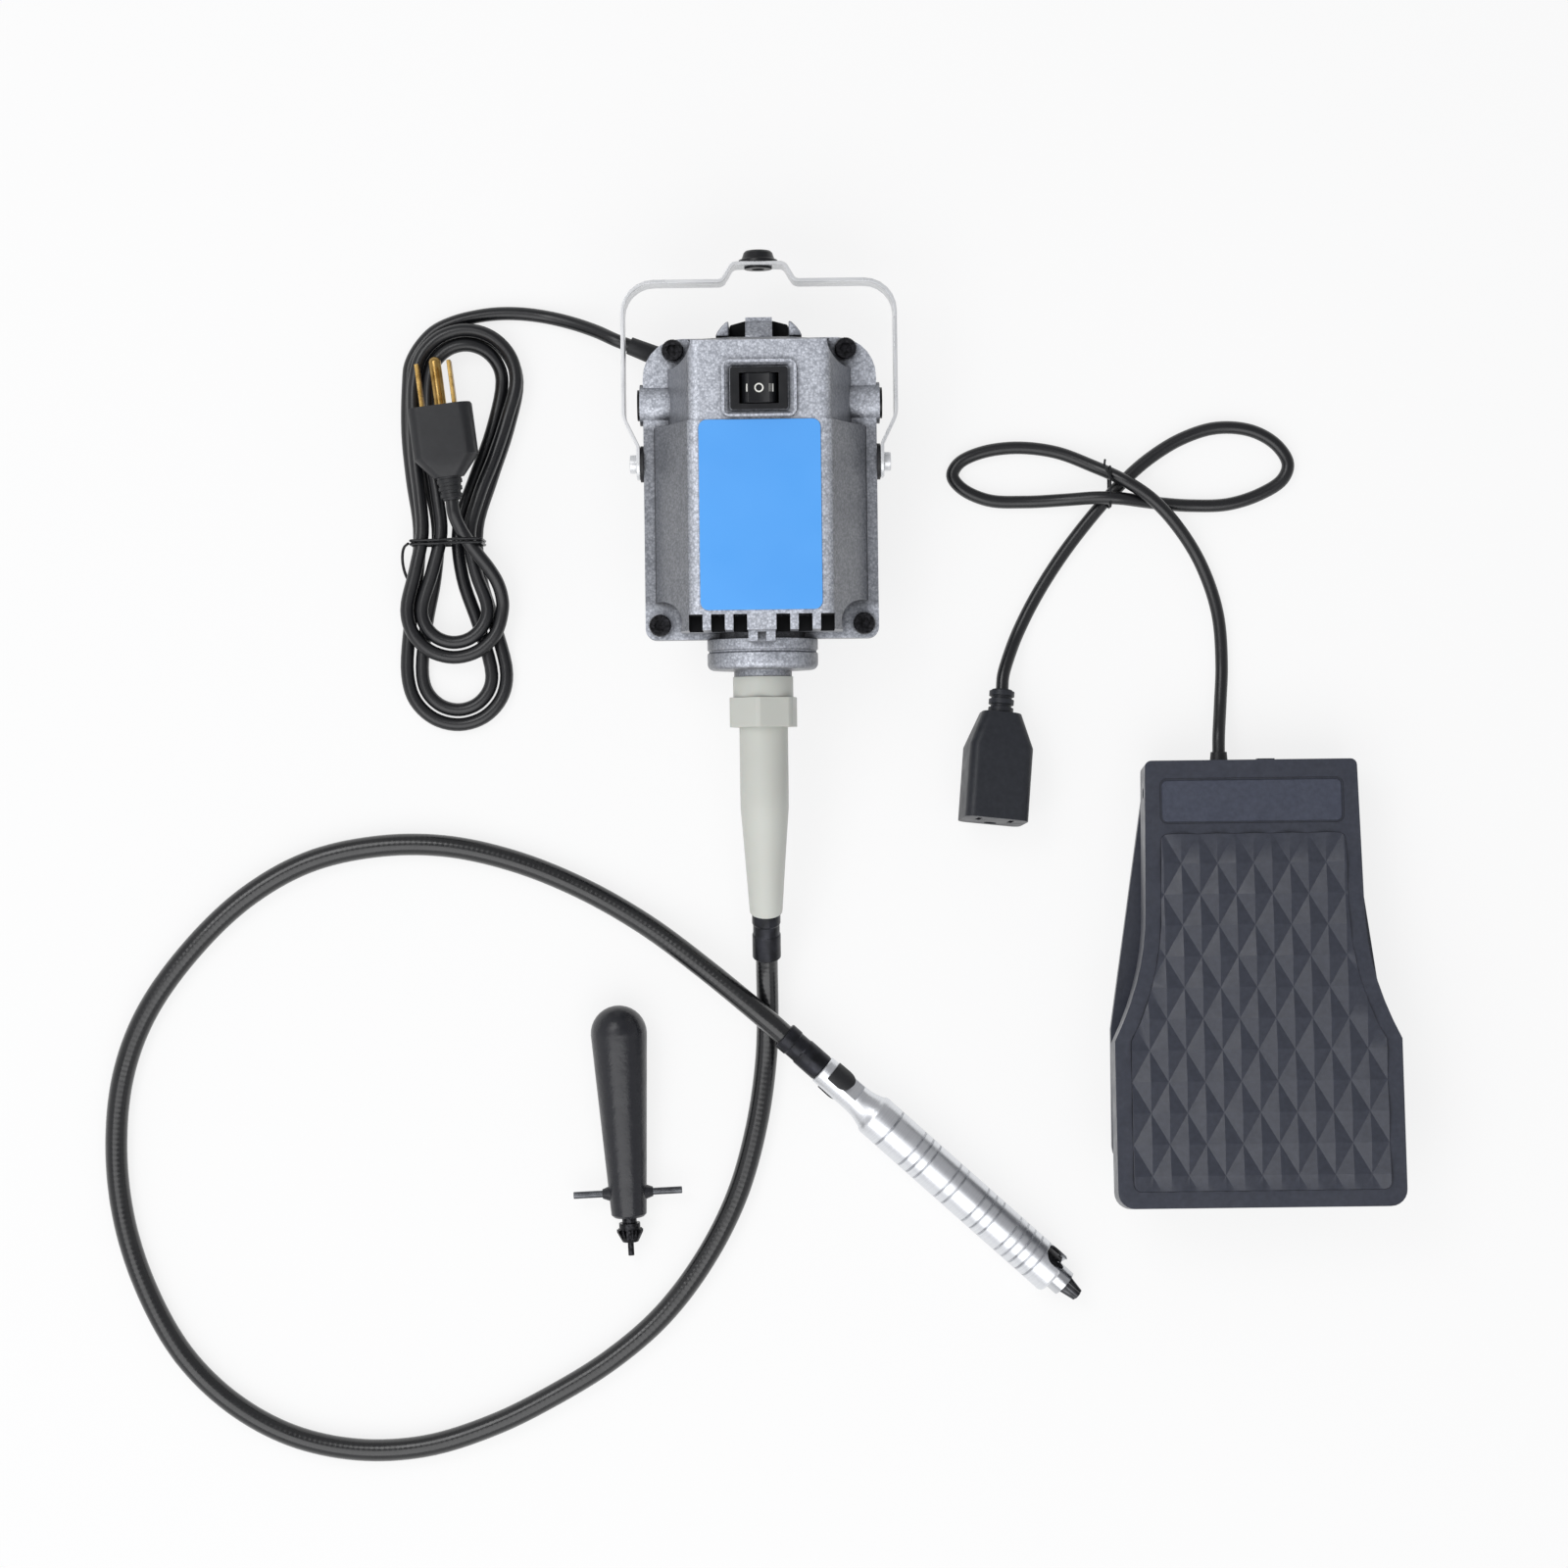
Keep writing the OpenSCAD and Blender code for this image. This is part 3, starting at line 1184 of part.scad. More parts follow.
function wall_outline(g) = plate_outline(pedal_wall + base_play + g, wall_from + g, tray_end - 2 - g, 1.5, 4);

module pedal_base() {
    color(PEDAL_GREY) in_pedal() difference() {
        union() {
            difference() {
                union() {
                    translate([0, 0, base_bottom]) linear_extrude(tray_h - base_bottom) polygon(tray_outline);
                    translate([0, 0, base_bottom]) linear_extrude(base_top - base_bottom) polygon(wall_outline(0));
                }
                translate([0, 0, base_floor]) linear_extrude(base_top) polygon(wall_outline(pedal_wall));
            }
            // bosses round the hinge pin
            for (s = [-1, 1]) translate([s * (half_1 - pedal_wall - base_play - 8), hinge_y, 0]) {
                translate([-2, -5, base_floor - eps]) cube([4, 10, hinge_z - base_floor]);
                translate([-2, 0, hinge_z]) rotate([0, 90, 0]) cylinder(r = 3.5, h = 4);
            }
            translate([0, -spring_s, base_floor - eps]) cylinder(r = spring_r2 - 1.6, h = 5);
            // tab behind the hinge
            translate([4, -wall_from - 1, 9]) cube([6.8, wall_from + 2.2, 5]);
        }
        translate([-pedal_w1, hinge_y, hinge_z]) rotate([0, 90, 0]) cylinder(r = hinge_r + 0.02, h = 2 * pedal_w1);
        translate([gland_x, 1, lead_z]) rotate([90, 0, 0]) cylinder(r = lead_gland_r, h = 12);
        for (p = foot_places) translate([p[0], p[1], base_bottom - 1]) cylinder(r = foot_r, h = 2);
    }
}

foot_r = 6;
foot_places = [for (s = [-1, 1], q = [[half_1 - 12, -16], [half_2 - 14, -tray_end + 16]]) [s * q[0], q[1]]];
lead_gland_r = 3.5;

module pedal_feet() {
    color(BLACK) in_pedal() for (p = foot_places) translate([p[0], p[1], 0]) difference() {
        cylinder(r = foot_r - 0.02, h = base_bottom + 1 - 0.02);
        translate([0, 0, -1]) cylinder(r = 2, h = 1.6);
    }
}

module hinge_pin() {
    color(STEEL) in_pedal() translate([-half_1 + 0.4, hinge_y, hinge_z]) rotate([0, 90, 0])
        cylinder(r = hinge_r, h = 2 * half_1 - 0.8);
}

spring_r2 = 7;
spring_wire = 1.4;
spring_turns = 6;
spring_top = hinge_z + (spring_s + hinge_y) * sin(pedal_tilt) + (plate_top - plate_t) * cos(pedal_tilt)
    - spring_r2 * sin(pedal_tilt) - seat;
spring_low = base_floor + spring_wire / 2 + 0.05;

module return_spring() {
    n = spring_turns * 10;
    color(STEEL) in_pedal() translate([0, -spring_s, 0]) tube([for (i = [0 : n])
        let (a = 360 * i / 10, t = i / n, lead = min(max((t - 0.1) / 0.8, 0), 1))
        [spring_r2 * cos(a), spring_r2 * sin(a), spring_low + (spring_top - spring_wire / 2 - spring_low) * lead]],
        spring_wire / 2, 6);
}

plunger_r = 3;
board = [48, 44];                    // circuit board of the speed control
board_t = 1.6;
pot = [28, 26];                      // housing that guides the plunger
capacitor_r = 3.4;
control_h = 12;
plunger_top = hinge_z + (plunger_s + hinge_y) * sin(pedal_tilt) + (plate_top - plate_t) * cos(pedal_tilt)
    - plunger_r * sin(pedal_tilt) - seat;
plunger_travel = (plunger_s + hinge_y) * sin(pedal_tilt);

module speed_control() {
    color(DARK_STEEL) in_pedal() difference() {
        union() {
            translate([-board[0] / 2, -control_s - 20, base_floor]) cube([board[0], board[1], board_t]);
            translate([-pot[0] / 2, -plunger_s - 8, base_floor + board_t - slip])
                cube([pot[0], pot[1], control_h - board_t + slip]);
            for (x = [-20, 18]) translate([x, -control_s + 6, base_floor + board_t - slip])
                cylinder(r = capacitor_r, h = control_h - 3);
        }
        translate([0, -plunger_s, base_floor - 1]) cylinder(r = plunger_r + running, h = 30);
    }
}

module speed_plunger() {
    low = base_floor + plunger_travel + 0.5;
    color("white") in_pedal() translate([0, -plunger_s, 0]) rotate_extrude()
        polygon([[0, low], [plunger_r, low], [plunger_r, plunger_top - 1.2], [plunger_r - 0.5, plunger_top - 0.3],
                 [plunger_r - 1.2, plunger_top], [0, plunger_top]]);
}

module pedal_plate() {
    color(PEDAL_GREY) on_plate() difference() {
        translate([0, 0, plate_top - plate_d]) linear_extrude(plate_d)
            polygon(plate_outline(0, 0, pedal_l, 2.5, plate_corner_r));
        translate([0, 0, plate_top - plate_d - 1]) linear_extrude(plate_d - plate_t + 1)
            polygon(plate_outline(pedal_wall, pedal_wall, pedal_l - pedal_wall, 1, plate_corner_r - pedal_wall));
        // the lead leaves under the hinge end
        translate([-half_1 + pedal_wall, -pedal_wall - 1, plate_top - plate_d - 1])
            cube([2 * (half_1 - pedal_wall), pedal_wall + 2, plate_d - 9]);
        translate([-pedal_w1, hinge_y, 0]) rotate([0, 90, 0]) cylinder(r = hinge_r + running, h = 2 * pedal_w1);
        // recesses for the tread and for a plain name panel
        translate([0, 0, plate_top - tread_seat]) linear_extrude(2) polygon(tread_outline(0));
        translate([0, -16, plate_top - tread_seat]) linear_extrude(2) polygon(round_rect(72, 18, 3));
    }
}

tread_seat = 0.5;
tread_margin = 6;
tread_from = 29;
tread_to = pedal_l - 6.5;
tread_row = 24.2;                    // length of one pyramid

function tread_outline(g) = plate_outline(tread_margin + g, tread_from + g, tread_to - g, 2.5, 3);

// Field of four-sided pyramids on a diamond lattice: corners low, middles high
module pyramids(cols, rows, base_z, top_z) {
    dx = tread_pitch / 2;
    dy = tread_row / 2;
    function id(i, j, level) = level * (cols + 1) * (rows + 1) + j * (cols + 1) + i;
    verts = [for (level = [0, 1], j = [0 : rows], i = [0 : cols])
        [(i - cols / 2) * dx, -j * dy, level == 0 ? 0 : (i + j) % 2 == 0 ? base_z : top_z]];
    top = [for (j = [0 : rows - 1], i = [0 : cols - 1])
        let (a = id(i, j, 1), b = id(i + 1, j, 1), c = id(i + 1, j + 1, 1), d = id(i, j + 1, 1))
        each ((i + j) % 2 == 0 ? [[a, b, c], [a, c, d]] : [[a, b, d], [b, c, d]])];
    low = [for (j = [0 : rows - 1], i = [0 : cols - 1])
        let (a = id(i, j, 0), b = id(i + 1, j, 0), c = id(i + 1, j + 1, 0), d = id(i, j + 1, 0))
        each [[a, c, b], [a, d, c]]];
    sides = concat(
        [for (i = [0 : cols - 1], e = [[0, 1], [rows, 0]])
            let (a = id(i, e[0], 0), b = id(i + 1, e[0], 0), c = id(i + 1, e[0], 1), d = id(i, e[0], 1))
            each (e[1] == 1 ? [[a, b, c], [a, c, d]] : [[a, c, b], [a, d, c]])],
        [for (j = [0 : rows - 1], e = [[0, 1], [cols, 0]])
            let (a = id(e[0], j, 0), b = id(e[0], j + 1, 0), c = id(e[0], j + 1, 1), d = id(e[0], j, 1))
            each (e[1] == 1 ? [[a, c, b], [a, d, c]] : [[a, b, c], [a, c, d]])]);
    polyhedron(verts, concat(top, low, sides), convexity = 8);
}

module tread_panel() {
    cols = 2 * ceil(half_2 / tread_pitch * 2) + 2;
    rows = ceil((tread_to - tread_from) / tread_row * 2) + 1;
    color(PEDAL_GREY) on_plate() intersection() {
        translate([0, -tread_from + 0.5, plate_top - tread_seat]) pyramids(cols, rows, 0.6, 0.6 + tread_h);
        translate([0, 0, plate_top - 3]) linear_extrude(8) polygon(tread_outline(slip));
    }
}

module pedal_gland() {
    color(BLACK) in_pedal() translate([gland_x, 0, lead_z]) rotate([-90, 0, 0]) rotate_extrude()
        polygon([[0, -wall_from - 4.5], [lead_gland_r + 0.9, -wall_from - 4.5],
                 [lead_gland_r + 0.9, -wall_from - 2.52], [lead_gland_r - 0.02, -wall_from - 2.52],
                 [lead_gland_r - 0.02, -wall_from + 0.1], [lead_gland_r + 0.5, -wall_from + 0.1],
                 [lead_gland_r + 0.3, -3.2], [3.2, 4], [0, 4]]);
}

lead_lie = lead_d / 2 + 0.05;
lead_start = pedal_at + [gland_x, 4, lead_z];
outlet_at = [94.3, -78, 8.9];        // where the outlet's strain relief starts
outlet_turn = -95.2;
outlet_rise = 8;
outlet_roll = -8;
outlet_dir = [cos(outlet_turn) * cos(outlet_rise), sin(outlet_turn) * cos(outlet_rise), sin(outlet_rise)];
lead_route = concat([lead_start, lead_start + [0.1, 6, 0]], [
    [181, -84, 4.8], [182, -68, lead_lie], [180.5, -48, lead_lie], [174.5, -30, 4.2], [166, -16, 7.4],
    [155, -3.8, 10.4], [144, 4, 9.7], [131.5, 10.4, 5.6], [117, 16.3, 3], [101, 18.3, lead_lie],
    [87, 16.4, lead_lie], [78.5, 12.3, lead_lie], [76, 7.5, lead_lie], [79.5, 2.5, lead_lie],
    [90, -2.4, lead_lie], [105, -3.3, 2.9], [121, -2.8, 5.2], [133, -2.4, 9], [141.5, -2.8, 9.3],
    [156, -4.4, 4.6], [170, -5.5, lead_lie], [185, -5.2, lead_lie], [198, -1.3, lead_lie],
    [207, 4.4, lead_lie], [209.3, 10.5, lead_lie], [205, 18, lead_lie], [195, 23.9, lead_lie],
    [181, 25.2, lead_lie], [167, 21, lead_lie], [153.5, 12.8, 3], [142, 2.6, 3.8], [131.5, -8.9, 3.2],
    [119, -24.8, lead_lie], [108.5, -41, lead_lie], [101, -55.5, 3.4], [96.6, -66.5, 6.6]],
    [outlet_at - 5.5 * outlet_dir, outlet_at]);

module pedal_cord() {
    color(BLACK) tube(lead_route, lead_d / 2, 8, [0, 1, 0], outlet_dir);
}

// Thin tie round the three strands where they cross
function lead_tie_outline(g) = rounded([[-7 - g, 0.9 - g], [10.8 + g, 0.9 - g], [10.8 + g, 12.3 + g],
    [-7 - g, 12.3 + g]], [2 + g, 2 + g, 3 + g, 2 + g], 4);

module lead_tie() {
    color(BLACK) translate([137.4, 0, 0]) rotate([90, 0, 90]) linear_extrude(1) difference() {
        polygon(lead_tie_outline(0.8));
        polygon(lead_tie_outline(0));
    }
}

module at_outlet() {
    translate(outlet_at) rotate([0, 90 - outlet_rise, outlet_turn]) rotate([0, 0, outlet_roll]) children();
}

outlet_body = [21, 25.3, 29];
outlet_neck_l = 14;
outlet_relief_l = 9.5;

module outlet_socket() {
    face = outlet_relief_l + outlet_neck_l + outlet_body[2];
    color(BLACK) at_outlet() difference() {
        union() {
            cylinder(r = 4.1, h = outlet_relief_l + 1);
            for (i = [0 : 2]) translate([0, 0, 0.6 + 3.3 * i]) cylinder(r = 5, h = 2);
            hull() {
                translate([0, 0, outlet_relief_l]) linear_extrude(1) polygon(round_rect(13, 15.6, 4));
                translate([0, 0, outlet_relief_l + outlet_neck_l]) linear_extrude(1)
                    polygon(round_rect(outlet_body[0], outlet_body[1], 4));
            }
            translate([0, 0, outlet_relief_l + outlet_neck_l]) linear_extrude(outlet_body[2])
                polygon(round_rect(outlet_body[0], outlet_body[1], 4));
        }
        for (s = [-1, 1])
            translate([blade_up - blade[0] / 2 - slip, s * blade_pitch / 2 - blade[1] / 2 - slip, face - blade[2] - 0.5])
                cube([blade[0] + 2 * slip, blade[1] + 2 * slip, blade[2] + 1]);
        translate([earth_down, 0, face - blade[2] - 4]) cylinder(r = earth_r + slip, h = blade[2] + 5);
    }
}

rear_housing();
front_housing();
housing_bolts();
label_plate();
nose_cap();
stator_core();
field_coils();
motor_bearings();
brush_holders();
carbon_brushes();
brush_springs();
brush_caps();
switch_frame();
switch_rocker();
pivot_bolts();
pivot_washers();
armature_shaft();
armature_core();
commutator();
cooling_fan();
hanger_bail();
hanger_grommet();
coupling_nut();
strain_boot();
motor_ferrule();
flex_sheath();
tool_ferrule();
grip_shell();
side_pads();
grip_bearings();
spindle();
chuck_sleeve();
jaw_1();
jaw_2();
jaw_3();
key_handle();
key_pinion();
key_pin();
cord_gland();
mains_cord();
mains_hank();
hank_tie();
mains_plug();
plug_pins();
pedal_base();
pedal_feet();
hinge_pin();
return_spring();
speed_control();
speed_plunger();
pedal_plate();
tread_panel();
pedal_gland();
pedal_cord();
lead_tie();
outlet_socket();
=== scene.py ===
"""Looks of the flexible-shaft rotary tool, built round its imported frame.

Metres. The motor lies on its back: +Y runs along its axis to the hanging bail, +Z is up.
Lengths in the tables below are millimetres and are turned into metres where they are used."""

import json
import math

import bmesh
import bpy
from mathutils import Matrix, Vector

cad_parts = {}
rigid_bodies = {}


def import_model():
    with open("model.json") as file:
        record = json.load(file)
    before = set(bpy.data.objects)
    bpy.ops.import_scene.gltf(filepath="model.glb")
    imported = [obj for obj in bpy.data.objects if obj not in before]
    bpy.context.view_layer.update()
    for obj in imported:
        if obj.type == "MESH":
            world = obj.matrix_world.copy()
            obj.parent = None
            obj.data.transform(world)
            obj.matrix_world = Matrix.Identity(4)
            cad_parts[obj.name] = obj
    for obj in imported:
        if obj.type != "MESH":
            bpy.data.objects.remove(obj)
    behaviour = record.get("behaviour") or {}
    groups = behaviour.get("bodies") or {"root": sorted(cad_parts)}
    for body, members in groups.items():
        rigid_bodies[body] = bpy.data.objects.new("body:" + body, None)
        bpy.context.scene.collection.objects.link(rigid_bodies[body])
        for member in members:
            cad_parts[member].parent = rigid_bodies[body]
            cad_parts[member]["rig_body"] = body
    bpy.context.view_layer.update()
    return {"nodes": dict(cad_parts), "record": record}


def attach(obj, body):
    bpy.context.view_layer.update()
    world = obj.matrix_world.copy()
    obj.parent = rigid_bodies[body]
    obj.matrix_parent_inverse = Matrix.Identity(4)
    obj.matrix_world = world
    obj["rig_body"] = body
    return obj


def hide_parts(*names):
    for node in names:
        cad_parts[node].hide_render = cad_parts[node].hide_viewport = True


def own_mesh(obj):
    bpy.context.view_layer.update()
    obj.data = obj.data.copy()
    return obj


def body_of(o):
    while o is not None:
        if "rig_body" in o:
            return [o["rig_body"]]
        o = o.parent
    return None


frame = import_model()
MM = 0.001

# ---- places -------------------------------------------------------------------


def mm(x, y, z):
    return Vector((x, y, z)) * MM


def put(x, y, z):
    return Matrix.Translation(mm(x, y, z))


def turn(axis, degrees):
    return Matrix.Rotation(math.radians(degrees), 4, axis)


# Where pieces end, in millimetres, and the way each of them points there.
BOOT_END = Vector((0, -164, 22.038))
BOOT_DIR = Vector((0, -0.906308, -0.422618))
TOOL_AT = Vector((21.2, -226.4, 14.1))
TOOL_DIP = 2.493
TOOL_DIR = Vector((0.737756, -0.673664, -0.043496))
AT_TOOL = put(*TOOL_AT) @ turn("Z", -42.4) @ turn("Y", 90 + TOOL_DIP)
GLAND_DIR = Vector((-0.927184, 0.374607, 0))
GLAND_AT = Vector((-29, 50.5, 13))
PLUG_AT = Vector((-121.2, -1.2, 20.3))
PLUG_DIR = Vector((-0.121869, 0.992546, 0))
OUTLET_AT = Vector((94.3, -78, 8.9))
OUTLET_DIR = Vector((-0.089752, -0.986194, 0.139173))
PEDAL_AT = Vector((190.2, -107.5, 0))
ON_PLATE = put(*PEDAL_AT) @ put(0, -12, 19) @ turn("X", -7) @ put(0, 12, 0)

# ---- camera and light -----------------------------------------------------------


def camera():
    eye = bpy.data.cameras.new("overhead_camera")
    eye.lens = 80.77
    eye.sensor_width = 36
    eye.clip_start = 0.05
    eye.clip_end = 20
    obj = bpy.data.objects.new("overhead_camera", eye)
    obj.location = (0.0076, -0.1141, 1.4)
    obj.rotation_euler = (0, 0, -0.0122)
    bpy.context.scene.collection.objects.link(obj)
    bpy.context.scene.camera = obj


def lamp(name, place, aim, size, watts):
    panel = bpy.data.lights.new(name, "AREA")
    panel.shape = "RECTANGLE"
    panel.size, panel.size_y = size
    panel.energy = watts
    obj = bpy.data.objects.new(name, panel)
    obj.location = place
    obj.rotation_euler = (Vector(aim) - Vector(place)).to_track_quat("-Z", "Y").to_euler()
    bpy.context.scene.collection.objects.link(obj)


def node(tree, kind, inputs=None, **settings):
    """Adds a node. An input given as a socket is linked, and any other is its value."""
    made = tree.nodes.new(kind)
    for name, value in settings.items():
        setattr(made, name, value)
    for key, value in (inputs or {}).items():
        if isinstance(value, bpy.types.NodeSocket):
            tree.links.new(value, made.inputs[key])
        else:
            made.inputs[key].default_value = value
    return made


def maths(tree, operation, a, b=0.0):
    """One sum, as a socket."""
    return node(tree, "ShaderNodeMath", {0: a, 1: b}, operation=operation).outputs[0]


def seen_directly(tree):
    """1 for rays from the camera and for those that metal or gloss sends back."""
    path = node(tree, "ShaderNodeLightPath").outputs
    first = maths(tree, "ADD", path["Is Camera Ray"], path["Is Glossy Ray"])
    return node(tree, "ShaderNodeMath", {0: first, 1: path["Is Transmission Ray"]},
                operation="ADD", use_clamp=True).outputs[0]


def studio():
    """Pale table, a soft room that is darker overhead, and two soft panels."""
    world = bpy.data.worlds.new("studio")
    bpy.context.scene.world = world
    world.use_nodes = True
    tree = world.node_tree
    back = tree.nodes["Background"]
    way = node(tree, "ShaderNodeTexCoord").outputs["Generated"]
    up = node(tree, "ShaderNodeSeparateXYZ", {0: way})
    ramp = node(tree, "ShaderNodeValToRGB", {0: up.outputs["Z"]})
    spots = ramp.color_ramp.elements
    spots[0].color = (0.5, 0.5, 0.505, 1)
    spots[1].position = 0.45
    spots[1].color = (0.42, 0.42, 0.43, 1)
    for place, shade in ((0.8, 0.32), (1.0, 0.26)):
        spots.new(place).color = (shade, shade, shade * 1.04, 1)
    side = node(tree, "ShaderNodeVectorMath", {0: way, 1: (-0.5, -0.86, 0)}, operation="DOT_PRODUCT")
    strength = node(tree, "ShaderNodeMapRange", {0: side.outputs["Value"], 1: -1, 2: 1, 3: 0.9, 4: 1.75})
    tree.links.new(ramp.outputs[0], back.inputs["Color"])
    tree.links.new(strength.outputs[0], back.inputs["Strength"])

    mesh = bpy.data.meshes.new("table_top")
    mesh.from_pydata([(-4, -4, 0), (4, -4, 0), (4, 4, 0), (-4, 4, 0)], [], [(0, 1, 2, 3)])
    mesh.transform(Matrix.Translation((0, 0, -0.0001)))
    table = bpy.data.objects.new("table_top", mesh)
    bpy.context.scene.collection.objects.link(table)
    paint = bpy.data.materials.new("table_white")
    paint.use_nodes = True
    tree = paint.node_tree
    tree.nodes.remove(tree.nodes["Principled BSDF"])
    matt = node(tree, "ShaderNodeBsdfDiffuse", {"Color": (0.86, 0.86, 0.86, 1)})
    glow = node(tree, "ShaderNodeEmission", {"Color": (1, 1, 1, 1), "Strength": 1.0})
    share = maths(tree, "MULTIPLY", seen_directly(tree), 0.8)
    mix = node(tree, "ShaderNodeMixShader", {0: share, 1: matt.outputs[0], 2: glow.outputs[0]})
    tree.links.new(mix.outputs[0], tree.nodes["Material Output"].inputs["Surface"])
    table.data.materials.append(paint)

    lamp("panel_near", (-0.2, -0.85, 1.15), (0, -0.12, 0), (1.8, 1.2), 11.4)
    lamp("panel_far", (-0.55, 0.42, 1.2), (0.05, -0.12, 0), (0.8, 0.6), 4.8)
    bpy.context.scene.view_settings.view_transform = "Standard"


# ---- finishes -------------------------------------------------------------------


def srgb(r, g, b):
    """Linear colour of an 8-bit one."""
    return tuple((c / 3294.6 if c <= 10.3 else ((c / 255 + 0.055) / 1.055) ** 2.4) for c in (r, g, b)) + (1,)


class Finish:
    """A Principled material with the few moves that the finishes here share."""

    def __init__(self, name, **sockets):
        self.material = bpy.data.materials.new(name)
        self.material.use_nodes = True
        self.tree = self.material.node_tree
        self.shader = self.tree.nodes["Principled BSDF"]
        for key, value in sockets.items():
            self.shader.inputs[key.replace("_", " ")].default_value = value
        self.place = node(self.tree, "ShaderNodeTexCoord")
        self.height = None

    def at(self, source="Object", scale=(1, 1, 1)):
        """Coordinates scaled by axis, on the object or on its own UV map."""
        inputs = {"Vector": self.place.outputs[source], "Scale": scale}
        return node(self.tree, "ShaderNodeMapping", inputs).outputs[0]

    def noise(self, scale, detail=3.0, where=None, rough=0.5):
        return node(self.tree, "ShaderNodeTexNoise", {"Vector": where or self.at(), "Scale": scale,
                    "Detail": detail, "Roughness": rough}).outputs["Fac"]

    def ramp(self, value, low, high, start, end):
        """Runs from low to high, two numbers or two colours, as value goes from start to end."""
        if isinstance(low, tuple):
            made = node(self.tree, "ShaderNodeValToRGB", {0: value})
            for spot, place, colour in zip(made.color_ramp.elements, (start, end), (low, high)):
                spot.position = place
                spot.color = colour
            return made.outputs[0]
        return node(self.tree, "ShaderNodeMapRange", {0: value, 1: start, 2: end, 3: low, 4: high}).outputs[0]

    def math(self, operation, a, b=0.0):
        return maths(self.tree, operation, a, b)

    def with_painted_shade(self, colour, reach, dark, flank_shade=1.0, more_shade=None):
        """Colour with painted shade, dark in slots and inside corners nearer than reach.

        The flank share given is painted shade on faces that stand up along the object's z, and the one more
        share given is more painted shade."""
        # Ambient occlusion turns into painted shade in corners and slots.
        near = node(self.tree, "ShaderNodeAmbientOcclusion", {"Distance": reach}, samples=8)
        shade = self.ramp(near.outputs["AO"], dark, 1.0, 0.15, 0.8)
        # Painted shade on the flanks, by how far the object's normal leans from its z.
        if flank_shade < 1:
            facing = node(self.tree, "ShaderNodeSeparateXYZ", {0: self.place.outputs["Normal"]})
            level = self.ramp(self.math("ABSOLUTE", facing.outputs["Z"]), flank_shade, 1.0, 0.45, 0.92)
            shade = self.math("MULTIPLY", shade, level)
        if more_shade is not None:
            shade = self.math("MULTIPLY", shade, more_shade)
        mixed = node(self.tree, "ShaderNodeVectorMath", {0: colour, "Scale": shade}, operation="SCALE")
        return self.drive("Base Color", mixed.outputs[0])

    def drive(self, socket, value):
        self.tree.links.new(value, self.shader.inputs[socket])
        return self

    def bump(self, height, strength, distance):
        """Adds one relief on top of those before it."""
        inputs = {"Height": height, "Strength": strength, "Distance": distance}
        if self.height is not None:
            inputs["Normal"] = self.height
        self.height = node(self.tree, "ShaderNodeBump", inputs).outputs[0]
        return self.drive("Normal", self.height)


def ledge_painted_shade(f):
    """Share of its tone that the paint keeps on the ledges along the housing's long sides: painted shade
    there, down to half.
    """
    middle_y, full_to, gone_at = -0.0106, 0.0335, 0.0365
    below, floor, lip, above = 0.0405, 0.042, 0.0436, 0.0446
    spot = node(f.tree, "ShaderNodeSeparateXYZ", {0: f.at()}).outputs
    along = f.ramp(f.math("ABSOLUTE", f.math("ADD", spot["Y"], -middle_y)), 1.0, 0.0, full_to, gone_at)
    level = f.math("MULTIPLY", f.ramp(spot["Z"], 0.0, 1.0, below, floor),
                   f.ramp(spot["Z"], 1.0, 0.0, lip, above))
    return f.math("SUBTRACT", 1.0, f.math("MULTIPLY", f.math("MULTIPLY", along, level), 0.5))


def hammered_paint():
    """Grey hammer paint: fine flecks with a dimple in each, and painted shade in corners and slots, on the
    slopes and on the long side ledges.
    """
    f = Finish("hammered_grey_paint", Metallic=0.3, Coat_Weight=0.2, Coat_Roughness=0.25)
    flecks_a_metre = 1150.0
    wobble = node(f.tree, "ShaderNodeTexNoise", {"Vector": f.at(), "Scale": 1400.0, "Detail": 2.0})
    place = node(f.tree, "ShaderNodeMix", {0: 0.0008, 4: f.at(), 5: wobble.outputs["Color"]},
                 data_type="VECTOR").outputs[1]
    cells = node(f.tree, "ShaderNodeTexVoronoi",
                 {"Vector": place, "Scale": flecks_a_metre, "Smoothness": 0.4},
                 feature="SMOOTH_F1").outputs["Distance"]
    flecks = node(f.tree, "ShaderNodeTexVoronoi", {"Vector": place, "Scale": flecks_a_metre})
    fleck = node(f.tree, "ShaderNodeSeparateColor", {0: flecks.outputs["Color"]}).outputs[0]
    tone = f.math("ADD", f.math("MULTIPLY", cells, 0.6), f.math("MULTIPLY", fleck, 0.4))
    # Painted shade: in corners and slots, on the slopes and on the long side ledges.
    f.with_painted_shade(f.ramp(tone, srgb(218, 222, 231), srgb(156, 160, 169), 0.15, 0.75), 0.006, 0.1,
               flank_shade=0.37, more_shade=ledge_painted_shade(f))
    f.drive("Roughness", f.ramp(f.noise(300), 0.34, 0.5, 0.3, 0.7))
    f.bump(f.math("MULTIPLY", cells, -1.0), 0.45, 0.00022)
    return f.bump(f.noise(90, 2), 0.15, 0.0004).material


def plate_film():
    f = Finish("blank_blue_plate", Coat_Weight=0.25, Coat_Roughness=0.2)
    f.drive("Base Color", f.ramp(f.noise(25, 2), srgb(80, 163, 243), srgb(86, 169, 248), 0.3, 0.7))
    f.drive("Roughness", f.ramp(f.noise(60), 0.34, 0.46, 0.3, 0.7))
    return f.bump(f.noise(900, 2), 0.05, 0.0001).material


def black_oxide():
    f = Finish("black_oxide_steel", Metallic=0.8)
    f.drive("Base Color", f.ramp(f.noise(900), srgb(20, 20, 22), srgb(62, 62, 66), 0.35, 0.8))
    f.drive("Roughness", f.ramp(f.noise(400), 0.24, 0.42, 0.3, 0.7))
    return f.bump(f.noise(2600, 3), 0.12, 0.00008).material


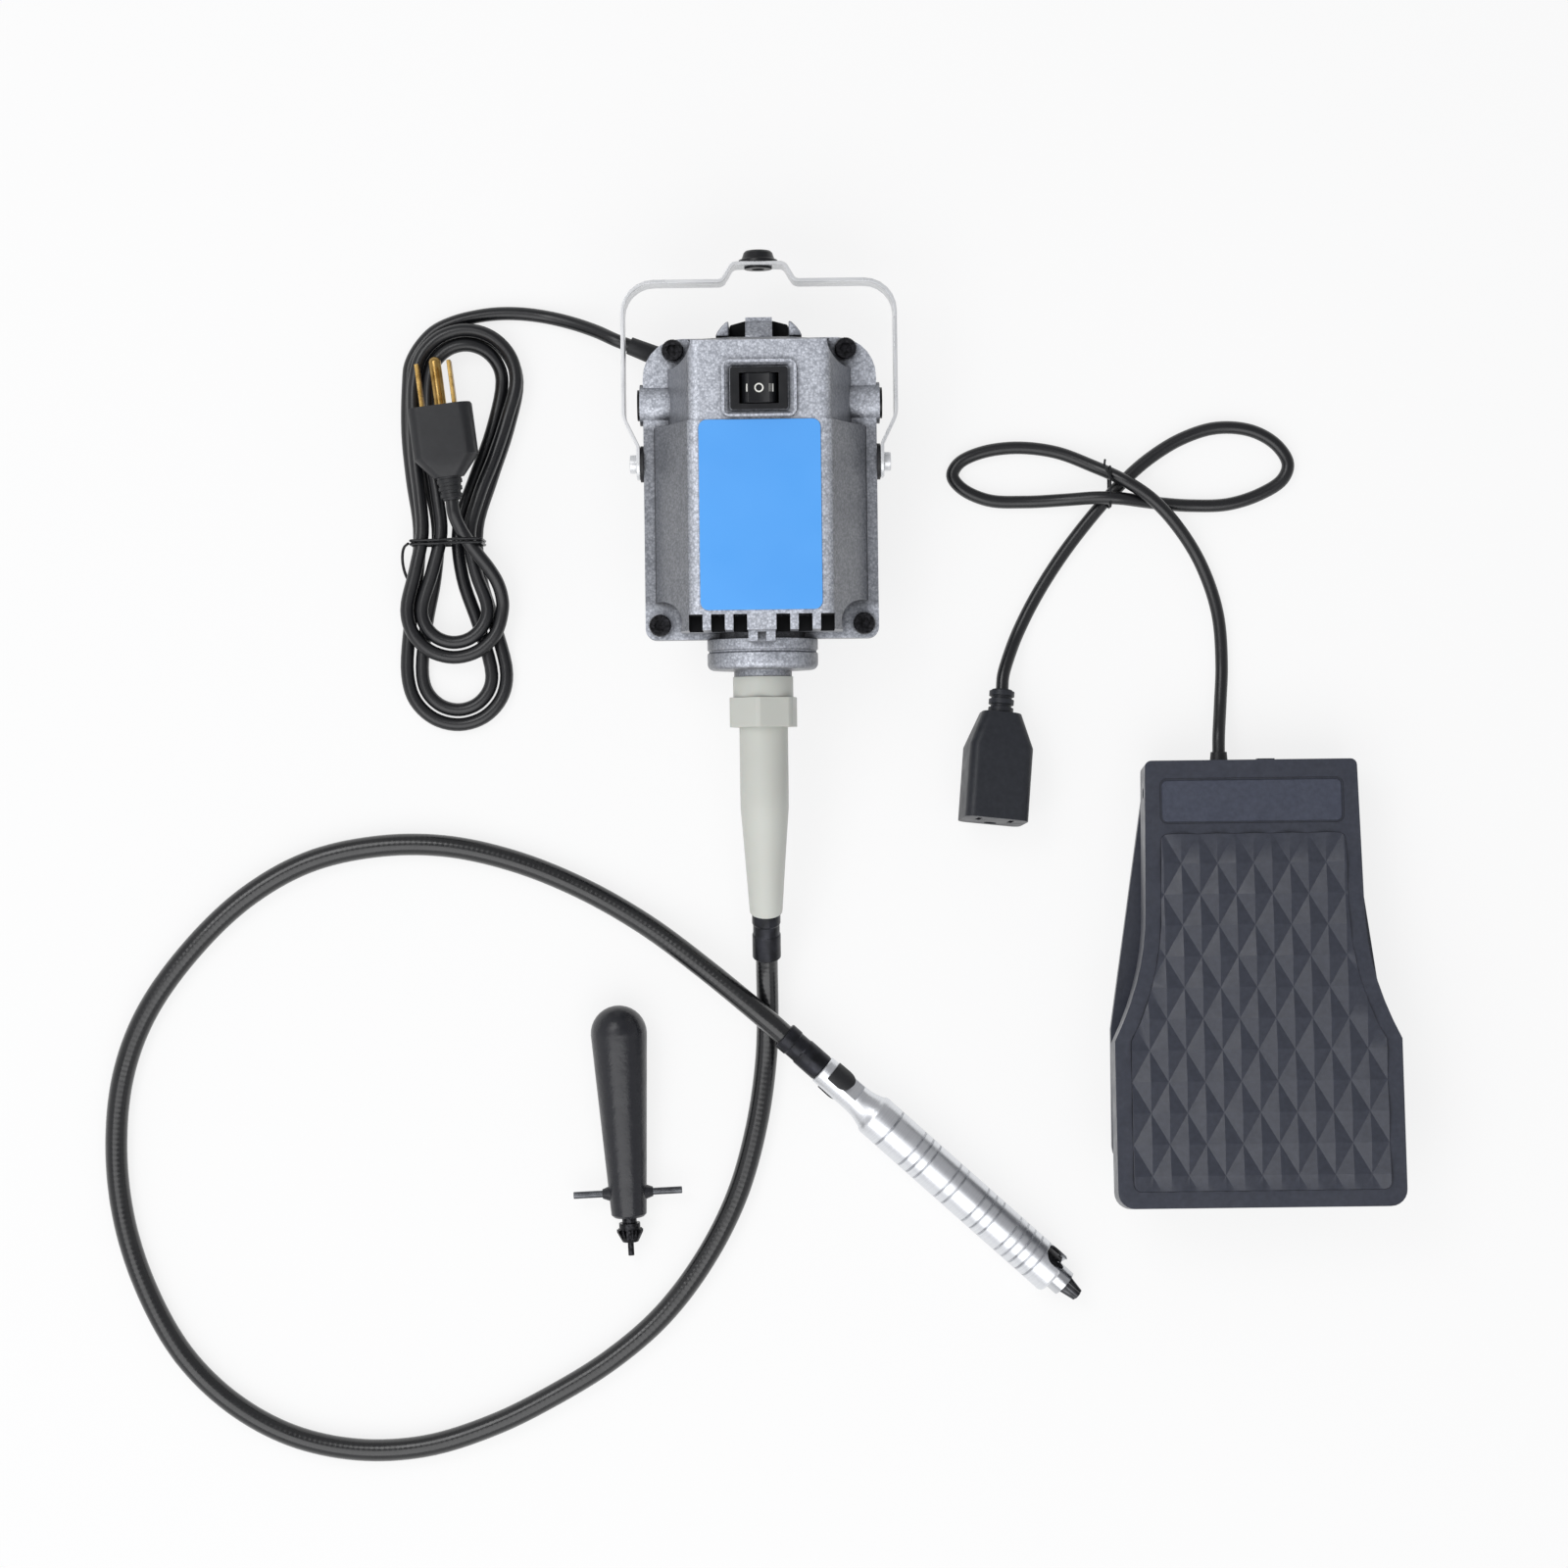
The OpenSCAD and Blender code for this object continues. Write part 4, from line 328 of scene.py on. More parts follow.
def bright_steel():
    f = Finish("bright_steel", Metallic=1.0, Base_Color=srgb(205, 207, 210))
    f.drive("Roughness", f.ramp(f.noise(320, 4), 0.16, 0.34, 0.3, 0.7))
    return f.bump(f.noise(1800, 3), 0.05, 0.00005).material


def strip_chrome():
    f = Finish("bail_chrome", Metallic=0.45)
    drawn = f.noise(1.0, 4, f.at("Object", (60, 60, 2600)))
    f.drive("Base Color", f.ramp(f.noise(30), srgb(222, 224, 226), srgb(236, 237, 238), 0.3, 0.7))
    f.drive("Roughness", f.ramp(drawn, 0.22, 0.4, 0.3, 0.7))
    return f.bump(drawn, 0.08, 0.00005).material


def turned_aluminium():
    """Polished metal with the fine rings that a lathe leaves round the piece."""
    f = Finish("turned_aluminium", Metallic=1.0)
    rings = f.noise(1.0, 5, f.at("UV", (0, 2.6, 0)))
    smears = f.noise(120, 3)
    f.drive("Base Color", f.ramp(rings, srgb(214, 216, 220), srgb(238, 240, 243), 0.25, 0.75))
    sheen = f.ramp(rings, 0.28, 0.38, 0.3, 0.7)
    f.drive("Roughness", f.math("ADD", sheen, f.ramp(smears, 0.0, 0.08, 0.4, 0.7)))
    return f.bump(rings, 0.08, 0.00003).material


def boot_plastic():
    f = Finish("warm_grey_plastic", Subsurface_Weight=0.05, Subsurface_Scale=0.001)
    f.drive("Base Color", f.ramp(f.noise(18, 3), srgb(187, 189, 182), srgb(200, 202, 195), 0.3, 0.7))
    f.drive("Roughness", f.ramp(f.noise(70), 0.36, 0.5, 0.3, 0.7))
    return f.bump(f.noise(1400, 3), 0.08, 0.0001).material


def ribbed_sheath():
    """Black jacket drawn over a wound casing, whose turns show through."""
    f = Finish("sheath_jacket", Base_Color=srgb(16, 17, 19), Coat_Weight=0.5, Coat_Roughness=0.12)
    winding_pitch = 2.1
    way = node(f.tree, "ShaderNodeSeparateXYZ", {0: f.at("UV")}).outputs
    gone = f.math("ADD", way["Y"], way["X"])
    wave = f.math("SINE", f.math("MULTIPLY", gone, 2 * math.pi / winding_pitch))
    f.drive("Roughness", f.ramp(f.noise(150), 0.22, 0.36, 0.3, 0.7))
    f.bump(wave, 0.3, 0.00006)
    return f.bump(f.noise(500, 3), 0.06, 0.0002).material


def cord_jacket():
    f = Finish("cord_jacket", Base_Color=srgb(18, 19, 22), Coat_Weight=0.2, Coat_Roughness=0.25)
    f.drive("Roughness", f.ramp(f.noise(90), 0.26, 0.42, 0.3, 0.7))
    f.bump(f.noise(120, 3), 0.12, 0.0005)
    return f.bump(f.noise(2500, 2), 0.04, 0.00005).material


def moulded(name, shade, rough, grain, strength, dark=None, shine=0.5):
    """Moulded plastic or rubber: a fine grain, and gloss that varies a little. Given dark, it gets painted
    shade in inside corners.
    """
    f = Finish(name, Specular_IOR_Level=shine)
    light = tuple(min(255, c * 1.12 + 2) for c in shade)
    colour = f.ramp(f.noise(500, 4), srgb(*shade), srgb(*light), 0.3, 0.75)
    if dark is None:
        f.drive("Base Color", colour)
    else:
        # Painted shade in inside corners, down to dark.
        f.with_painted_shade(colour, 0.0025, dark)
    f.drive("Roughness", f.ramp(f.noise(160), rough - 0.06, rough + 0.06, 0.3, 0.7))
    f.bump(f.noise(grain, 3), strength, 0.0001)
    return f.bump(f.noise(45, 2), 0.05, 0.0005).material


def wrinkled_plastic():
    """Handle moulded with a faint wrinkled skin that catches the light."""
    f = Finish("wrinkled_black_plastic", Base_Color=srgb(25, 26, 32), Specular_IOR_Level=0.55)
    folds = f.noise(240, 4, rough=0.6)
    f.drive("Roughness", f.ramp(f.noise(90), 0.24, 0.38, 0.3, 0.7))
    f.bump(folds, 0.45, 0.0006)
    return f.bump(f.noise(1800, 2), 0.06, 0.0001).material


def coloured_metal(name, dark, light, low, high, metal=1.0):
    f = Finish(name, Metallic=metal)
    f.drive("Base Color", f.ramp(f.noise(240, 4), srgb(*dark), srgb(*light), 0.3, 0.7))
    f.drive("Roughness", f.ramp(f.noise(420, 3), low, high, 0.3, 0.7))
    return f.bump(f.noise(1500, 3), 0.08, 0.00006).material


def lined_metal(name, dark, light, axis, pitch):
    """Metal in fine parallel lines: pressed sheets of a core, or the wires of a coil."""
    f = Finish(name, Metallic=1.0)
    place = node(f.tree, "ShaderNodeSeparateXYZ", {0: f.at()})
    wave = f.math("SINE", f.math("MULTIPLY", place.outputs[axis], 2 * math.pi / (pitch * MM)))
    f.drive("Base Color", f.ramp(wave, srgb(*dark), srgb(*light), 0.2, 0.9))
    f.drive("Roughness", f.ramp(f.noise(300), 0.3, 0.45, 0.3, 0.7))
    return f.bump(wave, 0.4, 0.0001).material


FINISHES = {
    "cast": hammered_paint(),
    "name_plate": plate_film(),
    "hardened": black_oxide(),
    "steel": bright_steel(),
    "chrome": strip_chrome(),
    "polished": turned_aluminium(),
    "boot": boot_plastic(),
    "sheath_jacket": ribbed_sheath(),
    "cord_jacket": cord_jacket(),
    "crimp": coloured_metal("crimp_black", (24, 25, 28), (46, 47, 54), 0.26, 0.42, 0.6),
    "black_plastic": moulded("black_plastic", (20, 21, 24), 0.34, 2200, 0.08, shine=0.4),
    "black_rubber": moulded("black_rubber", (24, 25, 28), 0.5, 1600, 0.14),
    # The pedal's plastic gets painted shade in its corners and grooves.
    "pedal": moulded("pedal_plastic", (51, 54, 64), 0.36, 2400, 0.14, dark=0.3),
    "white_plastic": moulded("white_plastic", (196, 196, 190), 0.4, 1800, 0.06),
    "carbon": moulded("pressed_carbon", (30, 30, 31), 0.6, 3000, 0.2),
    "copper": lined_metal("wound_copper", (128, 66, 34), (214, 134, 88), "Y", 0.9),
    "brass": coloured_metal("drawn_brass", (150, 118, 62), (198, 166, 104), 0.24, 0.4),
}
SPECIAL = {
    "stator_core": lined_metal("pressed_sheets", (96, 98, 102), (170, 172, 176), "Y", 0.7),
    "key_pin": coloured_metal("oiled_steel", (70, 71, 74), (112, 114, 118), 0.22, 0.36),
    "jaw_1": coloured_metal("jaw_steel", (58, 58, 60), (96, 97, 100), 0.24, 0.4),
    "key_handle": wrinkled_plastic(),
    # The socket's plastic gets painted shade in its corners.
    "outlet_socket": moulded("socket_plastic", (40, 42, 47), 0.42, 1500, 0.2, dark=0.4, shine=0.3),
}
SPECIAL["armature_core"] = SPECIAL["stator_core"]
SPECIAL["jaw_2"] = SPECIAL["jaw_3"] = SPECIAL["jaw_1"]
# Metal a little darker than the grip's: painted shade in its grooves, on beads that stand for the groove
# edges.
GROOVE_SHADED_METAL = coloured_metal("groove_shaded_metal", (168, 170, 174), (206, 208, 212), 0.22, 0.34)
# Near-black painted shade for the insides of the slots and windows.
SLOT_PAINTED_SHADE = moulded("slot_painted_shade", (17, 18, 20), 0.7, 1500, 0.1, shine=0.2)
PANEL_PLASTIC = moulded("panel_plastic", (62, 66, 79), 0.42, 2400, 0.1, shine=0.4)
PRINT = moulded("white_print", (214, 214, 208), 0.5, 2600, 0.04)
SLOT_OF = {part["node"]: part["material_slot"] for part in frame["record"]["subparts"]}

# ---- shaping --------------------------------------------------------------------


def new_piece(name, mesh):
    obj = bpy.data.objects.new(name, mesh)
    bpy.context.scene.collection.objects.link(obj)
    return obj


def closed_piece(name, verts, faces):
    """Piece of closed faces whose points are in metres, all faces turned outwards."""
    mesh = bpy.data.meshes.new(name)
    mesh.from_pydata(verts, [], faces)
    shape = bmesh.new()
    shape.from_mesh(mesh)
    bmesh.ops.recalc_face_normals(shape, faces=shape.faces)
    for face in shape.faces:
        face.smooth = True
    shape.to_mesh(mesh)
    shape.free()
    return new_piece(name, mesh)


def applied(obj):
    """Turns what the modifiers make into a plain mesh and drops them."""
    graph = bpy.context.evaluated_depsgraph_get()
    mesh = bpy.data.meshes.new_from_object(obj.evaluated_get(graph), preserve_all_data_layers=True,
                                           depsgraph=graph)
    obj.modifiers.clear()
    obj.data = mesh
    return obj


def shaded(obj, angle):
    obj.data.shade_smooth()
    obj.data.set_sharp_from_angle(angle=math.radians(angle))
    return obj


def dressed(obj, body, slot, *nodes, finish=None):
    """Gives a finished piece its material and its body, and hides the CAD nodes that it stands for."""
    obj.data.materials.clear()
    obj.data.materials.append(finish or FINISHES[slot])
    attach(obj, body)
    if nodes:
        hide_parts(*nodes)
    return obj


def leaned_back(shape):
    """Leans the end face above the bearing dome back towards its top edge."""
    face_y, top_z, foot_z, lean = 57 * MM, 76 * MM, 56 * MM, 3.6 * MM
    for vert in shape.verts:
        if vert.co.z > foot_z:
            vert.co.y = min(vert.co.y, face_y - lean * (vert.co.z - foot_z) / (top_z - foot_z))


def softened(part, width, angle=30, crease=24, wrap=None, reshape=None):
    """Copy of a CAD node whose edges above angle are rounded by width, dressed as that node.

    Edges between crease and angle stay crisp. wrap is the axis round which its UV map runs.
    A turned part with a wrap keeps its own faces, so that its shine runs true."""
    mesh = frame["nodes"][part].data.copy()
    shape = bmesh.new()
    shape.from_mesh(mesh)
    bmesh.ops.remove_doubles(shape, verts=shape.verts, dist=3e-6)
    if wrap is None:
        bmesh.ops.dissolve_limit(shape, angle_limit=math.radians(0.5), verts=shape.verts, edges=shape.edges)
    if reshape is not None:
        reshape(shape)
        bmesh.ops.remove_doubles(shape, verts=shape.verts, dist=5e-5)
    for face in shape.faces:
        face.smooth = True
    for edge in shape.edges:
        edge.smooth = not crease < math.degrees(edge.calc_face_angle(0)) < angle
    shape.to_mesh(mesh)
    shape.free()
    obj = new_piece(part + "_finished", mesh)
    body = body_of(frame["nodes"][part])[0]
    if wrap is not None:
        return dressed(wrapped(obj, wrap), body, SLOT_OF[part], part)
    rounding = obj.modifiers.new("rounding", "BEVEL")
    rounding.width = width * MM
    rounding.segments = 2
    rounding.limit_method = "ANGLE"
    rounding.angle_limit = math.radians(angle)
    rounding.use_clamp_overlap = True
    normals = obj.modifiers.new("normals", "WEIGHTED_NORMAL")
    normals.keep_sharp = True
    return dressed(applied(obj), body, SLOT_OF[part], part, finish=SPECIAL.get(part))


def wrapped(obj, place):
    """UV map round the axis of place: the turn across, and millimetres along it up."""
    back = place.inverted()
    layer = obj.data.uv_layers.new(name="UVMap")
    for loop, uv in zip(obj.data.loops, layer.data):
        spot = back @ obj.data.vertices[loop.vertex_index].co
        uv.uv = (math.atan2(spot.y, spot.x) / (2 * math.pi) + 0.5, spot.z / MM)
    return obj


def flowing(points, steps, lie=0.0):
    """Smooth line through points in millimetres, each span cut into steps, in metres, never below lie."""
    pts = [Vector(p) for p in points]
    ends = [2 * pts[0] - pts[1]] + pts + [2 * pts[-1] - pts[-2]]
    line = []
    for a, b, c, d in zip(ends, ends[1:], ends[2:], ends[3:]):
        knots = [0.0]
        for p, q in ((a, b), (b, c), (c, d)):
            knots.append(knots[-1] + max((q - p).length, 1e-6) ** 0.5)
        t0, t1, t2, t3 = knots
        for k in range(steps):
            t = t1 + (t2 - t1) * k / steps
            ab = a.lerp(b, (t - t0) / (t1 - t0))
            bc = b.lerp(c, (t - t1) / (t2 - t1))
            cd = c.lerp(d, (t - t2) / (t3 - t2))
            ac = ab.lerp(bc, (t - t0) / (t2 - t0))
            bd = bc.lerp(cd, (t - t1) / (t3 - t1))
            line.append(ac.lerp(bd, (t - t1) / (t2 - t1)))
    line.append(pts[-1])
    return [mm(p.x, p.y, max(p.z, lie)) for p in line]


def tube(name, line, radius, sides, first, last):
    """Closed tube along a line in metres that leaves along first and arrives along last.

    Its UV map runs round it and along it in millimetres."""
    directions = [(line[min(i + 1, len(line) - 1)] - line[max(i - 1, 0)]).normalized()
                  for i in range(len(line))]
    directions[0], directions[-1] = Vector(first).normalized(), Vector(last).normalized()
    across = directions[0].orthogonal().normalized()
    verts, faces, marks, gone = [], [], [], 0.0
    for i, (point, way) in enumerate(zip(line, directions)):
        across = (across - way * across.dot(way)).normalized()
        side = way.cross(across)
        if i:
            gone += (point - line[i - 1]).length / MM
        marks.append(gone)
        for k in range(sides):
            a = 2 * math.pi * k / sides
            verts.append(point + (across * math.cos(a) + side * math.sin(a)) * radius)
    uvs = []
    for i in range(len(line) - 1):
        for k in range(sides):
            n = (k + 1) % sides
            faces.append((i * sides + k, i * sides + n, (i + 1) * sides + n, (i + 1) * sides + k))
            u0, u1 = k / sides, (k + 1) / sides
            uvs += [(u0, marks[i]), (u1, marks[i]), (u1, marks[i + 1]), (u0, marks[i + 1])]
    faces.append(tuple(reversed(range(sides))))
    uvs += [(0.5, 0)] * sides
    faces.append(tuple(range((len(line) - 1) * sides, len(line) * sides)))
    uvs += [(0.5, marks[-1])] * sides
    mesh = bpy.data.meshes.new(name)
    mesh.from_pydata(verts, [], faces)
    layer = mesh.uv_layers.new(name="UVMap")
    for loop, uv in zip(layer.data, uvs):
        loop.uv = uv
    return shaded(new_piece(name, mesh), 50)


# ---- what repeats or follows a path ----------------------------------------------


def new_tree(name, sizes):
    """Geometry tree with the named inputs in sizes. Gives the tree and its inputs."""
    tree = bpy.data.node_groups.new(name, "GeometryNodeTree")
    tree.interface.new_socket("Geometry", in_out="INPUT", socket_type="NodeSocketGeometry")
    tree.interface.new_socket("Geometry", in_out="OUTPUT", socket_type="NodeSocketGeometry")
    for label, kind in sizes.items():
        tree.interface.new_socket(label, in_out="INPUT", socket_type="NodeSocket" + kind)
    tree.interface.new_socket("Finish", in_out="INPUT", socket_type="NodeSocketMaterial")
    return tree, tree.nodes.new("NodeGroupInput").outputs


def finished_tree(tree, given, shape):
    """Ends a tree: instances become real and take their finish."""
    real = node(tree, "GeometryNodeRealizeInstances", {"Geometry": shape})
    coated = node(tree, "GeometryNodeSetMaterial", {"Geometry": real.outputs[0], "Material": given["Finish"]})
    end = tree.nodes.new("NodeGroupOutput")
    tree.links.new(coated.outputs[0], end.inputs[0])
    return tree


def stood(tree, given, shape, **extra):
    """Ends a tree whose shape stands on each point that it is given."""
    on_points = node(tree, "GeometryNodeInstanceOnPoints",
                     {"Points": given["Geometry"], "Instance": shape, **extra})
    return finished_tree(tree, given, on_points.outputs[0])


def moved(tree, shape, height):
    """The shape raised by height along its z."""
    way = node(tree, "ShaderNodeCombineXYZ", {2: height})
    return node(tree, "GeometryNodeTransform", {"Geometry": shape, "Translation": way.outputs[0]}).outputs[0]


def swept(tree, path, profile, **extra):
    """Mesh of a profile that runs along a path."""
    inputs = {"Curve": path, "Profile Curve": profile, **extra}
    return node(tree, "GeometryNodeCurveToMesh", inputs).outputs[0]


def circle(tree, corners, radius):
    sizes = {"Resolution": corners, "Radius": radius}
    return node(tree, "GeometryNodeCurvePrimitiveCircle", sizes).outputs[0]


def grown(name, tree, points, edges, finish, **sizes):
    """Grows a tree on points in metres, joined by edges, into a plain mesh."""
    mesh = bpy.data.meshes.new(name)
    mesh.from_pydata([tuple(p) for p in points], edges, [])
    obj = new_piece(name, mesh)
    grow = obj.modifiers.new("grow", "NODES")
    grow.node_group = tree
    values = {key.replace("_", " "): value for key, value in sizes.items()}
    values["Finish"] = finish
    for socket in tree.interface.items_tree:
        if socket.in_out == "INPUT" and socket.name in values:
            grow[socket.identifier] = values[socket.name]
    return applied(obj)


def bolt_tree():
    """Socket head bolts, one standing up on each point, with a knurled rim."""
    tree, given = new_tree("socket_bolts", {
        "Head Radius": "Float", "Head Height": "Float", "Key Radius": "Float", "Key Depth": "Float",
        "Shank Radius": "Float", "Shank Length": "Float", "Knurls": "Int"})
    knurl_depth, top_width, wall_height = 0.04, 0.9, 0.88

    around = maths(tree, "MULTIPLY", given["Knurls"], 2.0)
    drum = node(tree, "GeometryNodeMeshCylinder", {"Vertices": around, "Side Segments": 2,
                "Radius": given["Head Radius"], "Depth": 2.0})
    spot = node(tree, "GeometryNodeInputPosition").outputs[0]
    spot = node(tree, "ShaderNodeSeparateXYZ", {0: spot}).outputs
    odd = maths(tree, "MODULO", node(tree, "GeometryNodeInputIndex").outputs[0], 2.0)
    top = maths(tree, "GREATER_THAN", spot["Z"], 0.5)
    below_top = maths(tree, "SUBTRACT", 1.0, top)
    rim = maths(tree, "SUBTRACT", 1.0, maths(tree, "MULTIPLY", odd, knurl_depth))
    width = maths(tree, "ADD", maths(tree, "MULTIPLY", top, top_width),
                  maths(tree, "MULTIPLY", below_top, rim))
    wall = maths(tree, "MULTIPLY", maths(tree, "ADD", spot["Z"], 1.0), wall_height)
    height = maths(tree, "ADD", top, maths(tree, "MULTIPLY", below_top, wall))
    place = node(tree, "ShaderNodeCombineXYZ", {
        0: maths(tree, "MULTIPLY", spot["X"], width), 1: maths(tree, "MULTIPLY", spot["Y"], width),
        2: maths(tree, "MULTIPLY", height, given["Head Height"])})
    head = node(tree, "GeometryNodeSetPosition",
                {"Geometry": drum.outputs["Mesh"], "Position": place.outputs[0]})

    key = node(tree, "GeometryNodeMeshCylinder", {"Vertices": 6, "Radius": given["Key Radius"],
               "Depth": maths(tree, "MULTIPLY", given["Key Depth"], 2.0)})
    hole = moved(tree, key.outputs["Mesh"], given["Head Height"])
    cut = node(tree, "GeometryNodeMeshBoolean", {0: head.outputs[0], 1: hole}, operation="DIFFERENCE")
    rod = node(tree, "GeometryNodeMeshCylinder", {"Vertices": 32, "Radius": given["Shank Radius"],
               "Depth": given["Shank Length"]})
    shank = moved(tree, rod.outputs["Mesh"], maths(tree, "MULTIPLY", given["Shank Length"], -0.49))
    bolt = node(tree, "GeometryNodeJoinGeometry", {0: cut.outputs[0]})
    tree.links.new(shank, bolt.inputs[0])
    return stood(tree, given, bolt.outputs[0])


def coil_tree():
    """Wound spring that stands on each point, with its end turns closed up."""
    tree, given = new_tree("coil_springs", {"Coil Radius": "Float", "Wire Radius": "Float", "Turns": "Int",
                                            "Height": "Float"})
    points_a_turn, closed_share = 18.0, 0.1

    line = node(tree, "GeometryNodeCurvePrimitiveLine")
    count = maths(tree, "ADD", maths(tree, "MULTIPLY", given["Turns"], points_a_turn), 1.0)
    spaced = node(tree, "GeometryNodeResampleCurve", {"Curve": line.outputs[0], "Count": count})
    along = node(tree, "GeometryNodeSplineParameter").outputs["Factor"]
    angle = maths(tree, "MULTIPLY", maths(tree, "MULTIPLY", along, given["Turns"]), 2 * math.pi)
    rise = node(tree, "ShaderNodeMapRange", {0: along, 1: closed_share, 2: 1 - closed_share, 3: 0.0, 4: 1.0})
    place = node(tree, "ShaderNodeCombineXYZ", {
        0: maths(tree, "MULTIPLY", maths(tree, "COSINE", angle), given["Coil Radius"]),
        1: maths(tree, "MULTIPLY", maths(tree, "SINE", angle), given["Coil Radius"]),
        2: maths(tree, "MULTIPLY", rise.outputs[0], given["Height"])})
    coil = node(tree, "GeometryNodeSetPosition",
                {"Geometry": spaced.outputs[0], "Position": place.outputs[0]})
    wire = swept(tree, coil.outputs[0], circle(tree, 8, given["Wire Radius"]), **{"Fill Caps": True})
    return stood(tree, given, wire)


def ring_tree():
    """Round beads that stand round one axis, one on each point."""
    tree, given = new_tree("turned_beads", {"Ring Radius": "Float", "Bead Radius": "Float", "Lean": "Vector"})
    bead = swept(tree, circle(tree, 72, given["Ring Radius"]), circle(tree, 8, given["Bead Radius"]))
    return stood(tree, given, bead, Rotation=given["Lean"])


def tie_tree():
    """Flat-sided wire that follows the edges it is given, round a bundle or out as a tail."""
    tree, given = new_tree("wire_ties", {"Width": "Float", "Thickness": "Float"})
    path = node(tree, "GeometryNodeMeshToCurve", {"Mesh": given["Geometry"]})
    size = node(tree, "ShaderNodeCombineXYZ", {0: given["Thickness"], 1: given["Width"], 2: 1.0})
    oval = node(tree, "GeometryNodeTransform", {"Geometry": circle(tree, 10, 0.5), "Scale": size.outputs[0]})
    return finished_tree(tree, given, swept(tree, path.outputs[0], oval.outputs[0], **{"Fill Caps": True}))


def rounded_loop(corners, radius):
    """Closed outline in a plane, its corners rounded off."""
    loop, steps = [], 5
    for i, corner in enumerate(corners):
        here = Vector(corner)
        a = (Vector(corners[i - 1]) - here).normalized()
        b = (Vector(corners[(i + 1) % len(corners)]) - here).normalized()
        half = a.angle(b) / 2
        back = radius / math.tan(half)
        middle = here + (a + b).normalized() * (radius / math.sin(half))
        start, end = here + a * back - middle, here + b * back - middle
        for k in range(steps + 1):
            loop.append(middle + start.slerp(end, k / steps))
    return loop


def chained(loops):
    """Points and edges of several chains, each given as (points, closed)."""
    points, edges = [], []
    for chain, closed in loops:
        first, n = len(points), len(chain)
        points += chain
        edges += [(first + k, first + (k + 1) % n) for k in range(n if closed else n - 1)]
    return points, edges


# ---- cords ----------------------------------------------------------------------


def smooth_step(t):
    t = min(max(t, 0), 1)
    return t * t * (3 - 2 * t)


def hank_line():
    """Loops of the mains lead's hank: a flat spiral inwards, then a second layer outwards."""
    loop_step, tied_step, waist_y, low_z, high_z = 5.9, 7.4, -17, 2.7, 8.5
    turns, points_a_turn, turn_back, quarter = 3.5, 24, 1.875, 0.125
    # Half width and end of the innermost bends: the upper one, and the lower one of each layer.
    (upper_w, upper_end), first_lower, second_lower = (18.6, 65.5), (16.7, -86), (14.5, -58)

    def nest(u):
        """Loops that lie outside this turn: fewer on the way in, more on the way out."""
        return 1 - u if u < turn_back else 1 - 2 * turn_back + u

    def bell(y, reach):
        """1 at the tie, falling off on both sides of it."""
        return math.exp(-(((y - waist_y) / reach) ** 2))

    def middle(y):
        """x of the hank's middle, which bows to one side at the tie."""
        return -115.2 + 0.035 * y - 7 * bell(y, 60)

    def strand(u, y, w, side, t):
        """x of a long run, drawn together at the tie."""
        reach = 17 if u >= 2 and y < waist_y else 32
        g = bell(y, reach) * smooth_step(8 * t) * smooth_step(8 - 8 * t)
        return middle(y) + side * (w * (1 - g) + tied_step * (1 + nest(u)) * g)

    line = []
    for i in range(int(turns * points_a_turn) + 1):
        u = quarter + i / points_a_turn
        f, k = u - math.floor(u), loop_step * nest(u)
        lower_w, lower_end = first_lower if u < 2 else second_lower
        wu, wl, low = upper_w + k, lower_w + k, lower_end - k
        upper, lower = upper_end + k - wu, low + wl
        z = low_z + (high_z - low_z) * smooth_step((u - 1.82) / 0.2)
        if f < quarter or f >= 1 - quarter:
            a = math.radians(90 * (f if f < quarter else f - 1) / quarter)
            x, y = middle(upper) - wu * math.sin(a), upper + wu * math.cos(a)
        elif abs(f - 0.5) < quarter:
            a = math.radians(90 * (f - 0.5) / quarter)
            x, y = middle(lower) + wl * math.sin(a), lower - wl * math.cos(a)
        elif f < 0.5:
            t = (f - quarter) / (0.5 - 2 * quarter)
            y = upper + (lower - upper) * t
            x = strand(u, y, wu + (wl - wu) * t, -1, t)
        else:
            t = (f - 0.5 - quarter) / (0.5 - 2 * quarter)
            y = lower + (upper - lower) * t
            x = strand(u, y, wl + (wu - wl) * t, 1, t)
        line.append((x, y, z + 1.4 * bell(y, 32)))
    return line


# Height of each cord's middle where it lies on the table, and its thickness.
SHEATH_LIE, SHEATH_D = 4.4, 8.7
SHEATH_ROUTE = (
    [BOOT_END + 20 * BOOT_DIR, BOOT_END + 27 * BOOT_DIR, (0, -207, 5.8)]
    + [(x, y, SHEATH_LIE) for x, y in (
        (-1, -225), (-5, -250), (-13, -277), (-26, -302), (-43, -324), (-63, -341), (-86, -355), (-111, -367),
        (-138, -375), (-165, -376), (-191, -370), (-214, -357), (-233, -338), (-247, -313), (-256, -285),
        (-259, -256), (-256, -227), (-247, -203), (-230, -179), (-207, -157), (-182, -143), (-155, -137),
        (-128, -137), (-101, -143))]
    + [(-74, -154, 4.8), (-48, -169, 7.5), (-24, -187, 11.8),
       TOOL_AT - 29 * TOOL_DIR, TOOL_AT - 20 * TOOL_DIR])

MAINS_LIE, MAINS_D = 2.7, 5.3
GLAND_L = 24
MAINS_ROUTE = (
    [GLAND_AT + GLAND_L * GLAND_DIR, GLAND_AT + (GLAND_L + 5.83) * GLAND_DIR,
     (-64, 65.5, 9.4), (-74, 69.5, 5.4), (-84, 72.3, 3)]
    + [(x, y, MAINS_LIE) for x, y in ((-94, 73.8), (-104, 74), (-113, 72.9), (-121.4, 70.8), (-129, 67.2),
                                      (-135, 61), (-138.7, 54))]
    + hank_line()
    + [(-103, -38.5, 10.2), (-104.6, -33, 12), (-107.8, -27.5, 14), (-111.6, -22.5, 15.6),
       (-115.2, -17.5, 16.9), (-118.3, -12.2, 18.2), PLUG_AT - 5.3 * PLUG_DIR, PLUG_AT])

